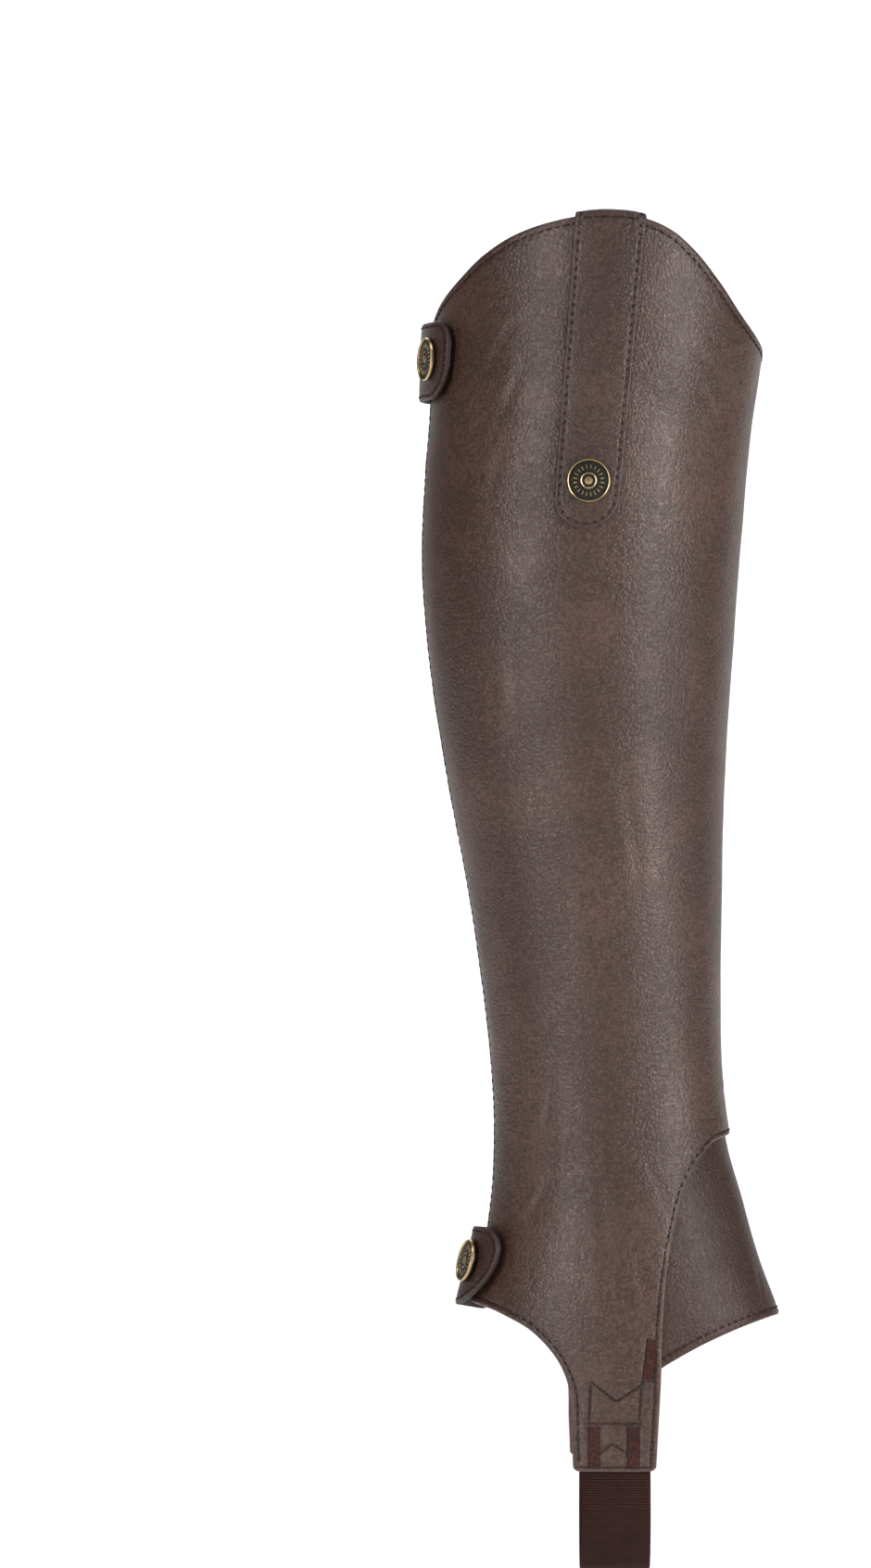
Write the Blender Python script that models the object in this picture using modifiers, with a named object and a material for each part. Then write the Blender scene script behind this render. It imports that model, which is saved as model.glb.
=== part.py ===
"""Half chap for the right leg, standing open in its worn shape.

Lengths in the tables are millimetres; the meshes are metres. +X is towards the toe, +Z up, and the
outer side of the leg is at -Y. The origin is the middle of the calf, where the leg holds the chap.

Every cloth piece is drawn flat, as a pattern: across is the way round the leg and up is the height.
The pattern is filled with triangles on one shared lattice, laid on the worn form, and thickened
inward. Layers are told apart by their offset from the outer face of the leather.
"""

import math
from collections import namedtuple

import bmesh
import bpy
import numpy as np
from mathutils import Matrix, Vector
from mathutils.geometry import delaunay_2d_cdt

MM = 0.001


def table(columns, *rows):
    """The rows of a table, each value under its column's name."""
    row_type = namedtuple("Row", columns)
    return [row_type(*row) for row in rows]


# The worn form, one row for each level: the outer face of the leather seen from the side
SECTIONS = table(
    "height back front half_width",
    (120.0, -53.4, 71.0, 54.0),
    (90.0, -53.5, 68.8, 54.0),
    (60.0, -54.3, 64.9, 53.5),
    (40.0, -55.3, 61.8, 53.0),
    (20.0, -57.0, 59.6, 52.5),
    (0.0, -58.0, 58.0, 52.0),
    (-40.0, -56.3, 54.9, 50.5),
    (-80.0, -50.6, 52.3, 47.0),
    (-120.0, -43.2, 50.9, 42.5),
    (-160.0, -36.9, 50.3, 38.5),
    (-200.0, -32.6, 51.2, 36.0),
    (-222.0, -32.2, 54.2, 35.5),
    (-242.0, -33.3, 60.0, 36.0),
    (-262.0, -36.3, 65.7, 37.0),
    (-283.0, -41.9, 73.2, 38.0),
    (-303.0, -43.5, 78.0, 38.0),
    (-345.0, -43.5, 78.0, 36.5),
)
SHIN_NARROWING = 0.08  # how much slimmer the shin is than the calf

# Soft folds of the leather and suede: place, reach each way, depth (minus is a trough), lean
FOLDS = table(
    "angle height half_angle half_height depth lean",
    (150.0, -150.0, 9.0, 75.0, 0.9, 0.05),
    (134.0, -165.0, 9.0, 60.0, -0.8, 0.06),
    (118.0, -60.0, 12.0, 80.0, -0.7, 0.03),
    (96.0, -20.0, 13.0, 70.0, 0.6, -0.02),
    (-112.0, -95.0, 14.0, 85.0, -0.7, 0.04),
    (-66.0, -70.0, 13.0, 90.0, 0.6, -0.03),
    (-132.0, 48.0, 11.0, 30.0, -0.8, -0.15),
    (-40.0, 38.0, 13.0, 26.0, -0.7, 0.25),
    (-128.0, -232.0, 12.0, 34.0, -0.7, 0.1),
    (112.0, -268.0, 14.0, 24.0, -0.6, -0.1),
    (-24.0, -248.0, 12.0, 22.0, 0.6, 0.1),
    (24.0, -252.0, 12.0, 22.0, -0.6, 0.1),
)

# Layers, as offsets of the outer face and thickness
LEATHER_THICK = 1.4
UNDER_OFFSET = -1.85  # suede, vamp, lining, facing and elastic lie under the leather
SUEDE_THICK = 1.3
VAMP_THICK = 1.3
FACING_THICK = 1.3
LINING_THICK = 1.0
ELASTIC_THICK = 1.4
TAPE_OFFSET = -3.5
TAPE_THICK = 0.6
STUD_CLEAR = 0.3  # more room where a flat piece meets a round one

# Edges of the leather wrap. Heights go with a distance forward, seen from the side
ARCH = table(
    "forward height",
    (-45.3, 88.3),
    (-36.2, 96.7),
    (-25.4, 103.4),
    (-11.9, 108.0),
    (9.6, 110.8),
    (22.7, 109.1),
    (31.3, 105.4),
    (39.8, 98.4),
    (48.4, 88.3),
    (57.3, 76.1),
)
ARCH_PEAK = 110.8
HEM = table(
    "forward height",
    (-29.2, -281.9),
    (-18.5, -287.8),
    (-9.7, -297.3),
    (-5.5, -306.8),
    (-4.3, -324.4),
)
TONGUE_BOTTOM = -337.4
TONGUE_BACK = -3.8
TONGUE_FRONT = 26.0
INSTEP_EDGE = table(
    "forward height",
    (27.3, -314.5),
    (28.0, -295.0),
    (28.6, -281.0),
    (30.0, -266.1),
    (32.4, -252.2),
    (35.8, -238.4),
    (41.1, -227.9),
)
CALF_SEAM = table(
    "forward height",
    (53.4, 39.6),
    (49.3, 6.8),
    (42.7, -62.0),
    (37.3, -103.5),
    (31.1, -147.0),
    (24.7, -172.0),
    (7.5, -209.0),
    (-22.9, -243.0),
)
SEAM_TOP_ANGLE = 29.6
SEAM_END_HEIGHT = -256.0
# The top edge round the shin and along the inner side: angle round the leg, and height
SHIN_EDGE = table(
    "angle height",
    (-17.0, 68.3),
    (0.0, 64.0),
    (12.0, 60.8),
    (22.0, 59.4),
)
INNER_EDGE = table(
    "angle height",
    (60.0, 63.6),
    (95.0, 68.4),
    (130.0, 73.0),
    (155.0, 75.0),
)
SEAM_TOP = 60.0
MOUTH_BACK = 75.2
HEM_BACK = -278.0
INSTEP_APEX = table(
    "angle height",
    (-33.0, -220.6),
    (-18.0, -218.8),
    (0.0, -218.2),
    (18.0, -218.8),
    (33.0, -220.6),
)

SEAM_ALLOWANCE = 9.0  # how far the suede and the vamp reach under the leather
LINING_CLEAR = 0.6
LINING_BACK = 5.0
FACING_WIDTH = 7.5
BACK_GAP = 4.0  # from the back line to the edge of each panel

# Vamp
TOE_HEIGHT = -282.6
TOE_FORWARD = 71.3
VAMP_SLOPE = 0.24
VAMP_BEND = 0.0042
VAMP_HEM_FORWARD = (15.0, 32.0, 45.0, 58.0, 67.0)

# Strap down the outer side, folded over the top edge
STRIP_LOW = -1.1
STRIP_TOP_FORWARD = 9.4
STRIP_END_FORWARD = -0.1
STRIP_TOP_WIDTH = 25.1
STRIP_END_WIDTH = 23.2
STRIP_THICK = 1.2
STRIP_OFFSET = 1.6
STRIP_FLAP = 6.5  # how far it comes down inside
STRIP_CLEAR = 0.4  # from the flap to the facing
EDGE_CLEAR = 0.3  # from the start of the fold to the top edge
STRIP_ROWS = 10
FOLD_RISE, FOLD_LENGTH, FOLD_TURNS = 2.0, 6.0, 6
FOLD_SQUARENESS = 0.67  # 1 is a round fold, less is a squarer one
STRIP_SETTLES = 30.0  # the top stretch over which its rows come to follow the arch

# Closing tabs
TAB_THICK = 2.2
TAB_ROWS = 5
UPPER_TAB_LOW, UPPER_TAB_HIGH = 46.0, 74.0
LOWER_TAB_LOW, LOWER_TAB_HIGH = -280.5, -252.0
# Corner radii: inner end high, outer end high, outer end low, inner end low
UPPER_TAB_ROUNDS = (12.5, 8.5, 13.0, 12.5)
LOWER_TAB_ROUNDS = (0.0, 8.0, 20.0, 0.0)
# Offset of each tab's outer face at an angle round the leg: 180 is the back, past it the outer side
UPPER_LIFT = table(
    "angle offset",
    (128.0, 0.8),
    (138.0, 0.8),
    (148.0, 0.8),
    (158.0, 1.5),
    (167.0, 2.8),
    (174.0, 3.6),
    (181.0, 4.0),
    (188.0, 4.2),
    (195.0, 4.3),
    (204.0, 4.4),
    (212.0, 4.5),
)
LOWER_LIFT = table(
    "angle offset",
    (164.0, -3.6),
    (170.0, -3.6),
    (175.2, -3.5),
    (179.5, 1.0),
    (184.0, 4.4),
    (189.0, 5.6),
    (195.0, 5.9),
    (201.0, 5.9),
    (208.0, 5.7),
    (215.0, 5.4),
)

# Snap caps and their studs
CAP_RADIUS = 7.8
CAP_RIM = 1.5
CAP_HEIGHT = 1.9
CAP_STEPS = 28
STUD_RADIUS = 4.2
SEAT_GAP = 0.3
UPPER_CAP = (199.0, 60.5)
LOWER_CAP = (196.0, -265.0)
STRIP_CAP = (1.2, 16.0)

# Zip
CHAIN_WIDTH, CHAIN_OFFSET, CHAIN_THICK = 6.0, -1.7, 2.6
CHAIN_LOW, CHAIN_HIGH = -248.0, 60.0
TAPE_FROM, TAPE_TO = 3.35, 13.0
TAPE_LOW, TAPE_HIGH = -250.0, 68.0
SLIDER_WIDTH, SLIDER_LOW, SLIDER_HIGH = 6.8, 53.5, 65.5
PLATE_THICK = 1.0
PLATE_CLEAR, UNDER_PLATE_CLEAR, PULL_CLEAR, POST_CLEAR = 0.4, 0.6, 0.4, 0.8
PULL_WIDTH, PULL_LOW, PULL_HIGH, PULL_THICK = 4.6, 48.0, 63.0, 1.0

# Elastic under the foot
ELASTIC_WIDTH = 24.7
ELASTIC_MIDDLE = 11.8
ELASTIC_TOP = -309.0
LOOP_START = -340.5

# Shared lattice of the cloth patterns
WRAP_RADIUS = 50.0
COLUMN_STEP, ROW_STEP = 8.5, 11.0
EDGE_STEP = 7.0
LATTICE_CLEAR = 3.2

COLOURS = {
    "leather": ((0.095, 0.058, 0.048), 0.42, 0.0),
    "vamp_leather": ((0.078, 0.046, 0.040), 0.45, 0.0),
    "suede": ((0.062, 0.026, 0.017), 0.95, 0.0),
    "lining": ((0.018, 0.019, 0.020), 0.9, 0.0),
    "elastic": ((0.036, 0.016, 0.013), 0.85, 0.0),
    "zip_tape": ((0.040, 0.022, 0.018), 0.9, 0.0),
    "antique_brass": ((0.33, 0.23, 0.11), 0.35, 1.0),
}


def smooth_value(positions, values, at):
    """Cubic curve through a short table, at one position or an array of them."""
    positions, values = np.asarray(positions, float), np.asarray(values, float)
    if positions[0] > positions[-1]:
        positions, values = positions[::-1], values[::-1]
    slopes = np.gradient(values, positions)
    at = np.clip(at, positions[0], positions[-1])
    index = np.clip(np.searchsorted(positions, at) - 1, 0, len(positions) - 2)
    width = positions[index + 1] - positions[index]
    t = (at - positions[index]) / width
    start, end = values[index], values[index + 1]
    rise = (3 - 2 * t) * t * t
    lead = t * (1 - t) ** 2 * width * slopes[index]
    trail = t * t * (1 - t) * width * slopes[index + 1]
    return start + (end - start) * rise + lead - trail


def section_at(height):
    """Middle, half depth and half width of the form at a height."""
    heights, backs, fronts, widths = (list(column) for column in zip(*SECTIONS))
    back = smooth_value(heights, backs, height)
    front = smooth_value(heights, fronts, height)
    return (front + back) / 2, (front - back) / 2, smooth_value(heights, widths, height)


def fold_height(angle, height):
    """How far the soft folds lift the cloth at a place."""
    lift = np.zeros(np.broadcast(angle, height).shape)
    for fold in FOLDS:
        above = height - fold.height
        turn = (angle - fold.angle - fold.lean * above + 180) % 360 - 180
        fade = (turn / fold.half_angle) ** 2 + (above / fold.half_height) ** 2
        lift = lift + fold.depth * np.exp(-fade)
    return lift


def bare_form(angle, height):
    """Points of the form without offset: angle 0 is the shin, -90 the outer side, 180 the back."""
    middle, half_depth, half_width = section_at(height)
    turn = np.radians(angle)
    x = middle + half_depth * np.cos(turn)
    y = half_width * np.sin(turn) * (1 - SHIN_NARROWING * np.cos(turn))
    return np.stack([x, y, height + 0 * x], axis=-1)


def form_normal(angle, height):
    """Outward directions of the form."""
    around = bare_form(angle + 0.5, height) - bare_form(angle - 0.5, height)
    upward = bare_form(angle, height + 0.5) - bare_form(angle, height - 0.5)
    normal = np.cross(around, upward)
    return normal / np.linalg.norm(normal, axis=-1, keepdims=True)


def on_form(angle, height, offset):
    """Points in metres, a distance out from the outer face of the leather."""
    out = (offset + fold_height(angle, height))[..., None]
    return (bare_form(angle, height) + form_normal(angle, height) * out) * MM


def side_angle(forward, height, side=-1):
    """Angle round the leg of a place seen from the side: side -1 is the outer one."""
    middle, half_depth, _ = section_at(height)
    return side * math.degrees(math.acos(np.clip((forward - middle) / half_depth, -1, 1)))


def flat(angle, height):
    """Pattern coordinates of a place on the form."""
    return (math.radians(angle) * WRAP_RADIUS, height)


def on_side(table, side=-1):
    """Pattern points of a table of distances forward and heights."""
    return [flat(side_angle(forward, height, side), height) for forward, height in table]


def beside_back(distance, height, side=-1):
    """Angle of a place that far from the back line, on one side."""
    _, _, half_width = section_at(height)
    return side * (180 - math.degrees(distance / (half_width * (1 + SHIN_NARROWING))))


def back_line(distance, low, high, side=-1, step=EDGE_STEP * 1.6):
    """Pattern points up a line that keeps its distance from the back line."""
    levels = np.linspace(low, high, max(2, round((high - low) / step) + 1))
    return [flat(beside_back(distance, level, side), level) for level in levels]


def curve(points, step=EDGE_STEP):
    """A smooth curve through the points, sampled at about one step."""
    points = np.asarray(points, float)
    if len(points) == 2:
        count = max(1, round(np.linalg.norm(points[1] - points[0]) / step))
        return [tuple(p) for p in np.linspace(points[0], points[1], count + 1)]
    run = np.concatenate([[0], np.cumsum(np.linalg.norm(np.diff(points, axis=0), axis=1))])
    count = max(2, round(run[-1] / step))
    at = np.linspace(0, run[-1], count + 1)
    return list(zip(smooth_value(run, points[:, 0], at), smooth_value(run, points[:, 1], at)))


def moved_aside(line, distance):
    """The line moved to its right by a distance."""
    line = np.asarray(line, float)
    ahead = np.gradient(line, axis=0)
    ahead /= np.linalg.norm(ahead, axis=1, keepdims=True)
    return [tuple(p) for p in line + distance * np.stack([ahead[:, 1], -ahead[:, 0]], axis=1)]


def crossing(first, second):
    """Where two lines cross first: the piece and place on each, or None."""
    for i in reversed(range(len(first) - 1)):
        a, b = np.array(first[i]), np.array(first[i + 1])
        for j in range(len(second) - 1):
            c, d = np.array(second[j]), np.array(second[j + 1])
            grid = np.array([b - a, c - d]).T
            if abs(np.linalg.det(grid)) < 1e-9:
                continue
            s, t = np.linalg.solve(grid, c - a)
            if -1e-6 <= s <= 1 + 1e-6 and -1e-6 <= t <= 1 + 1e-6:
                return i, j, tuple(a + s * (b - a))
    return None


def closed_outline(lines):
    """One closed outline from lines in order, each trimmed where it crosses the next."""
    lines = [list(line) for line in lines]
    for k, line in enumerate(lines):
        following = lines[(k + 1) % len(lines)]
        found = crossing(line, following)
        if found:
            i, j, point = found
            line[i + 1 :] = [point]
            following[: j + 1] = [point]
    outline = []
    for point in (p for line in lines for p in line):
        if not outline or math.dist(point, outline[-1]) > 0.4:
            outline.append(point)
    return outline if math.dist(outline[0], outline[-1]) > 0.4 else outline[:-1]


def distances_inside(points, outline):
    """Distance of each point from the outline, below zero outside it."""
    ends = np.asarray(outline, float)
    nexts = np.roll(ends, -1, axis=0)
    along = nexts - ends
    rel = points[:, None] - ends[None]
    t = np.clip((rel * along).sum(-1) / (along**2).sum(-1), 0, 1)
    nearest = np.linalg.norm(rel - t[..., None] * along, axis=-1).min(axis=1)
    spans = (ends[:, 1] > points[:, None, 1]) != (nexts[:, 1] > points[:, None, 1])
    rise = np.where(along[:, 1] == 0, 1e-12, along[:, 1])
    cross_x = ends[:, 0] + (points[:, None, 1] - ends[:, 1]) / rise * along[:, 0]
    inside = ((points[:, None, 0] < cross_x) & spans).sum(axis=1) % 2 == 1
    return np.where(inside, nearest, -nearest)


def lattice_points(outline):
    """Points of the shared lattice that lie inside an outline."""
    low, high = np.min(outline, axis=0), np.max(outline, axis=0)
    rows = range(math.floor(low[1] / ROW_STEP), math.ceil(high[1] / ROW_STEP) + 1)
    columns = range(math.floor(low[0] / COLUMN_STEP) - 1, math.ceil(high[0] / COLUMN_STEP) + 2)
    points = [((i + 0.5 * (row % 2)) * COLUMN_STEP, row * ROW_STEP) for row in rows for i in columns]
    points = np.array(points)
    return [tuple(p) for p in points[distances_inside(points, outline) > LATTICE_CLEAR]]


def filled(outline, inner):
    """Triangles that fill an outline through its inner points, all turned the same way."""
    corners = [Vector(p) for p in outline + inner]
    ring = list(range(len(outline)))
    points, _, faces, *_ = delaunay_2d_cdt(corners, [], [ring], 1, 1e-5)
    turned = []
    for face in faces:
        a, b, c = (points[i] for i in face)
        forwards = (b - a).cross(c - a) > 0
        turned.append(tuple(face) if forwards else tuple(reversed(face)))
    return np.array([tuple(p) for p in points]), turned


def finish(name):
    """The material of that name."""
    found = bpy.data.materials.get(name)
    if found:
        return found
    colour, roughness, metallic = COLOURS[name]
    made = bpy.data.materials.new(name)
    made.use_nodes = True
    shader = made.node_tree.nodes["Principled BSDF"]
    shader.inputs["Base Color"].default_value = (*colour, 1)
    shader.inputs["Roughness"].default_value = roughness
    shader.inputs["Metallic"].default_value = metallic
    return made


def piece(name, mesh, material, collection):
    """An object in the chap's collection, smooth but for its creases."""
    obj = bpy.data.objects.new(name, mesh)
    collection.objects.link(obj)
    mesh.materials.append(finish(material))
    mesh.shade_smooth()
    mesh.set_sharp_from_angle(angle=math.radians(40))
    return obj


def wall(obj, thickness):
    """Thickens an open surface inward."""
    shell = obj.modifiers.new("wall", "SOLIDIFY")
    shell.thickness = thickness * MM
    shell.offset = -1
    shell.use_quality_normals = True
    return obj


def mesh_of(name, places, faces):
    """A mesh of points in metres and their faces."""
    mesh = bpy.data.meshes.new(name)
    mesh.from_pydata([tuple(p) for p in places], [], faces)
    mesh.update()
    return mesh


def cloth(name, outline, offset, thickness, material, collection):
    """A cloth wall cut to an outline, its outer face at an offset."""
    points, faces = filled(outline, lattice_points(outline))
    angles, heights = np.degrees(points[:, 0] / WRAP_RADIUS), points[:, 1]
    mesh = mesh_of(name, on_form(angles, heights, np.full(len(points), offset)), faces)
    return wall(piece(name, mesh, material, collection), thickness)


def edge_lines():
    """The edges of the leather wrap in order, clockwise from the back of its top edge."""
    back_top = flat(beside_back(BACK_GAP, MOUTH_BACK), MOUTH_BACK)
    seam_top = flat(SEAM_TOP_ANGLE, SEAM_TOP)
    seam_end = flat(beside_back(BACK_GAP, SEAM_END_HEIGHT, 1), SEAM_END_HEIGHT)
    shin = [flat(angle, height) for angle, height in SHIN_EDGE]
    top = curve([back_top, *on_side(ARCH), *shin, seam_top])
    seam = curve([seam_top, *on_side(CALF_SEAM, 1), seam_end])
    lines = {"top": top, "seam": seam}
    tongue = {}
    for side, name in ((1, "inner"), (-1, "outer")):
        corner = flat(beside_back(BACK_GAP, HEM_BACK, side), HEM_BACK)
        heel = flat(side_angle(TONGUE_BACK, TONGUE_BOTTOM, side), TONGUE_BOTTOM)
        toe = flat(side_angle(TONGUE_FRONT, TONGUE_BOTTOM, side), TONGUE_BOTTOM)
        lines[name + "_hem"] = curve([corner, *on_side(HEM, side), heel])
        lines[name + "_tongue"] = curve([heel, toe], 10)
        tongue[side] = toe
    apex = [flat(angle, height) for angle, height in reversed(INSTEP_APEX)]
    rise = [tongue[1], *on_side(INSTEP_EDGE, 1)]
    fall = [*reversed(on_side(INSTEP_EDGE, -1)), tongue[-1]]
    lines["instep"] = curve(rise + apex + fall, EDGE_STEP * 0.8)
    lines["inner_back"] = back_line(BACK_GAP, HEM_BACK, SEAM_END_HEIGHT, 1)[::-1]
    lines["outer_back"] = back_line(BACK_GAP, HEM_BACK, MOUTH_BACK, -1)
    lines["outer_hem"] = lines["outer_hem"][::-1]
    lines["outer_tongue"] = lines["outer_tongue"][::-1]
    return lines


WRAP_ORDER = (
    "top",
    "seam",
    "inner_back",
    "inner_hem",
    "inner_tongue",
    "instep",
    "outer_tongue",
    "outer_hem",
    "outer_back",
)


def leather_wrap(collection):
    """The leather that goes from the zip round the outer side and shin to the inner ankle."""
    lines = edge_lines()
    outline = closed_outline([lines[name] for name in WRAP_ORDER])
    return cloth("leather_wrap", outline, 0.0, LEATHER_THICK, "leather", collection)


def lining(collection):
    """The fabric inside the leather, short of the turned edges, the suede and the vamp."""
    lines = edge_lines()
    under = SEAM_ALLOWANCE + LINING_CLEAR
    insets = dict.fromkeys(WRAP_ORDER, under)
    insets["top"] = FACING_WIDTH + LINING_CLEAR
    insets["inner_back"] = insets["outer_back"] = LINING_BACK
    insets["inner_tongue"] = insets["outer_tongue"] = ELASTIC_TOP - TONGUE_BOTTOM + 3.5
    moved = [moved_aside(lines[name], insets[name]) for name in WRAP_ORDER]
    return cloth("lining", closed_outline(moved), UNDER_OFFSET, LINING_THICK, "lining", collection)


def top_facing(collection):
    """The leather turned in along the top edge of the wrap, as far as the suede."""
    lines = edge_lines()
    top = lines["top"]
    lower = moved_aside(top, FACING_WIDTH)
    side = moved_aside(lines["seam"], SEAM_ALLOWANCE + LINING_CLEAR)
    side = [(side[0][0], side[0][1] + SEAM_ALLOWANCE), *side]
    outline = closed_outline([top, side, lower[::-1], [lower[0], top[0]]])
    return cloth("top_facing", outline, UNDER_OFFSET, FACING_THICK, "leather", collection)


def suede_calf(collection):
    """The suede panel on the inner side of the calf, from under the leather to the zip."""
    seam = edge_lines()["seam"]
    under = moved_aside(seam, SEAM_ALLOWANCE)
    inner = [flat(angle, height) for angle, height in INNER_EDGE]
    back_top = flat(beside_back(BACK_GAP, MOUTH_BACK, 1), MOUTH_BACK)
    shin = [flat(angle, height) for angle, height in SHIN_EDGE[-2:]]
    top = curve([*shin, flat(SEAM_TOP_ANGLE, SEAM_TOP), *inner, back_top])
    low = SEAM_END_HEIGHT - SEAM_ALLOWANCE
    back = back_line(BACK_GAP, low, MOUTH_BACK, 1)[::-1]
    raised = [(under[0][0], under[0][1] + 12.0), *under, (under[-1][0] + 9.0, under[-1][1])]
    outline = closed_outline([top, back, raised[::-1]])
    return cloth("suede_calf", outline, UNDER_OFFSET, SUEDE_THICK, "suede", collection)


def vamp(collection):
    """The piece over the instep, under both instep edges of the leather."""
    instep = edge_lines()["instep"]
    under = moved_aside(instep, SEAM_ALLOWANCE)
    hem = []
    for side in (-1, 1):
        half = []
        for forward in VAMP_HEM_FORWARD:
            back = TOE_FORWARD - forward
            height = TOE_HEIGHT - back * (VAMP_SLOPE + VAMP_BEND * back)
            half.append(flat(side_angle(forward, height, side), height))
        hem.append(half)
    bottom = curve([*hem[0], flat(0, TOE_HEIGHT), *hem[1][::-1]])
    outline = closed_outline([bottom, under])
    return cloth("vamp", outline, UNDER_OFFSET, VAMP_THICK, "vamp_leather", collection)


def strip_middle(height):
    """Middle of the outer strip, forward, at a height."""
    share = (height - STRIP_LOW) / (ARCH_PEAK - STRIP_LOW)
    return STRIP_END_FORWARD + (STRIP_TOP_FORWARD - STRIP_END_FORWARD) * share


def top_edge_height(forward):
    """Height of the outer top edge at a distance forward."""
    forwards, heights = zip(*ARCH)
    return smooth_value(forwards, heights, forward)


def squared(value):
    """A sine or cosine made squarer."""
    return math.copysign(abs(value) ** FOLD_SQUARENESS, value)


def strip_half_width(run, round_end, top_run):
    """Half the width of the strip at a distance up from its round end."""
    share = np.clip((run - round_end) / (top_run - round_end), 0, 1)
    full = round_end + share * (STRIP_TOP_WIDTH / 2 - round_end)
    inset = np.clip(1 - run / round_end, 0, 1)
    return full * math.sqrt(1 - inset**2)


def outer_strip(collection):
    """The strip down the outer side, which folds over the top edge and ends round."""
    round_end = STRIP_END_WIDTH / 2
    inner_offset = UNDER_OFFSET - FACING_THICK - STRIP_CLEAR - STRIP_THICK
    half_fold = (STRIP_OFFSET - inner_offset) / 2
    top_run = ARCH_PEAK - STRIP_LOW - EDGE_CLEAR
    rows = [round_end * (1 - math.cos(math.radians(turn))) for turn in (30, 55, 78)]
    rows += list(np.linspace(round_end + 4, top_run - 2, STRIP_ROWS))
    rows += [top_run + FOLD_LENGTH * k / FOLD_TURNS for k in range(FOLD_TURNS + 1)]
    end_run = top_run + FOLD_LENGTH + STRIP_FLAP

    halves = [strip_half_width(run, round_end, top_run) for run in rows]
    sides = [*zip(halves, rows), (STRIP_TOP_WIDTH / 2 - 1.0, end_run)]
    outline = [(0.0, 0.0), *sides, *[(-across, run) for across, run in reversed(sides)]]
    inner = [(share * half, run) for half, run in zip(halves, rows) for share in (-0.5, 0.0, 0.5)]
    points, faces = filled(outline, inner)
    places = []
    for across, run in points:
        height = STRIP_LOW + min(run, top_run)
        forward = strip_middle(height) + across
        edge = top_edge_height(forward) - EDGE_CLEAR
        angle = side_angle(forward, min(height, edge))
        if run <= top_run:
            drop = edge - STRIP_LOW - top_run
            height += drop * max(0.0, 1 - (top_run - run) / STRIP_SETTLES)
            offset = STRIP_OFFSET
        else:
            turn = min((run - top_run) / FOLD_LENGTH, 1) * math.pi
            offset = STRIP_OFFSET - half_fold * (1 - squared(math.cos(turn)))
            height = edge + FOLD_RISE * squared(max(math.sin(turn), 0.0))
            height -= max(0.0, run - top_run - FOLD_LENGTH)
        places.append(on_form(np.array(angle), np.array(height), np.array(offset)))
    mesh = mesh_of("outer_strip", places, faces)
    return wall(piece("outer_strip", mesh, "leather", collection), STRIP_THICK)


def tab_outline(columns, low, high, rounds):
    """Pattern outline of a tab round the back, with a point on both long edges at each column."""
    left, right = columns[0], columns[-1]
    squeeze = WRAP_RADIUS / (section_at((low + high) / 2)[2] * (1 + SHIN_NARROWING))
    corners = zip(((left, high), (right, high), (right, low), (left, low)), rounds, (180, 90, 0, -90))
    outline = []
    for (across, height), radius, first in corners:
        inward = 1 if across == left else -1
        downward = -1 if height == high else 1
        turns = np.radians(np.linspace(first, first - 90, 6 if radius else 1))
        for turn in turns:
            around = across + squeeze * radius * (inward + math.cos(turn)) * bool(radius)
            outline.append((around, height + radius * (downward + math.sin(turn)) * bool(radius)))
    closed = []
    for a, b in zip(outline, outline[1:] + outline[:1]):
        between = [(x, a[1]) for x in columns if min(a[0], b[0]) + 1 < x < max(a[0], b[0]) - 1]
        along = sorted(between, reverse=b[0] < a[0]) if a[1] == b[1] else []
        closed += [a, *along] if along else curve([a, b], 6.0)[:-1]
    return closed


def lift_of(table):
    """Offset of a tab's outer face as a function of the angle."""
    angles, offsets = zip(*table)
    return lambda angle: np.interp(angle, angles, offsets)


def tab(name, lifts, low, high, rounds, collection):
    """A snap tab: its pattern has a column of points at each place where its lift is given."""
    columns = [flat(angle, 0)[0] for angle, _ in lifts]
    outline = tab_outline(columns, low, high, rounds)
    levels = np.linspace(low, high, TAB_ROWS + 1)[1:-1]
    inner = np.array([(x, level) for x in columns[1:-1] for level in levels])
    inner = [tuple(p) for p in inner[distances_inside(inner, outline) > 1.5]]
    points, faces = filled(outline, inner)
    angles = np.degrees(points[:, 0] / WRAP_RADIUS)
    mesh = mesh_of(name, on_form(angles, points[:, 1], lift_of(lifts)(angles)), faces)
    return wall(piece(name, mesh, "leather", collection), TAB_THICK)


def tabs(collection):
    """The two snap tabs, from the inner side round the zip to the outer side."""
    tab("upper_tab", UPPER_LIFT, UPPER_TAB_LOW, UPPER_TAB_HIGH, UPPER_TAB_ROUNDS, collection)
    tab("lower_tab", LOWER_LIFT, LOWER_TAB_LOW, LOWER_TAB_HIGH, LOWER_TAB_ROUNDS, collection)


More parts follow.
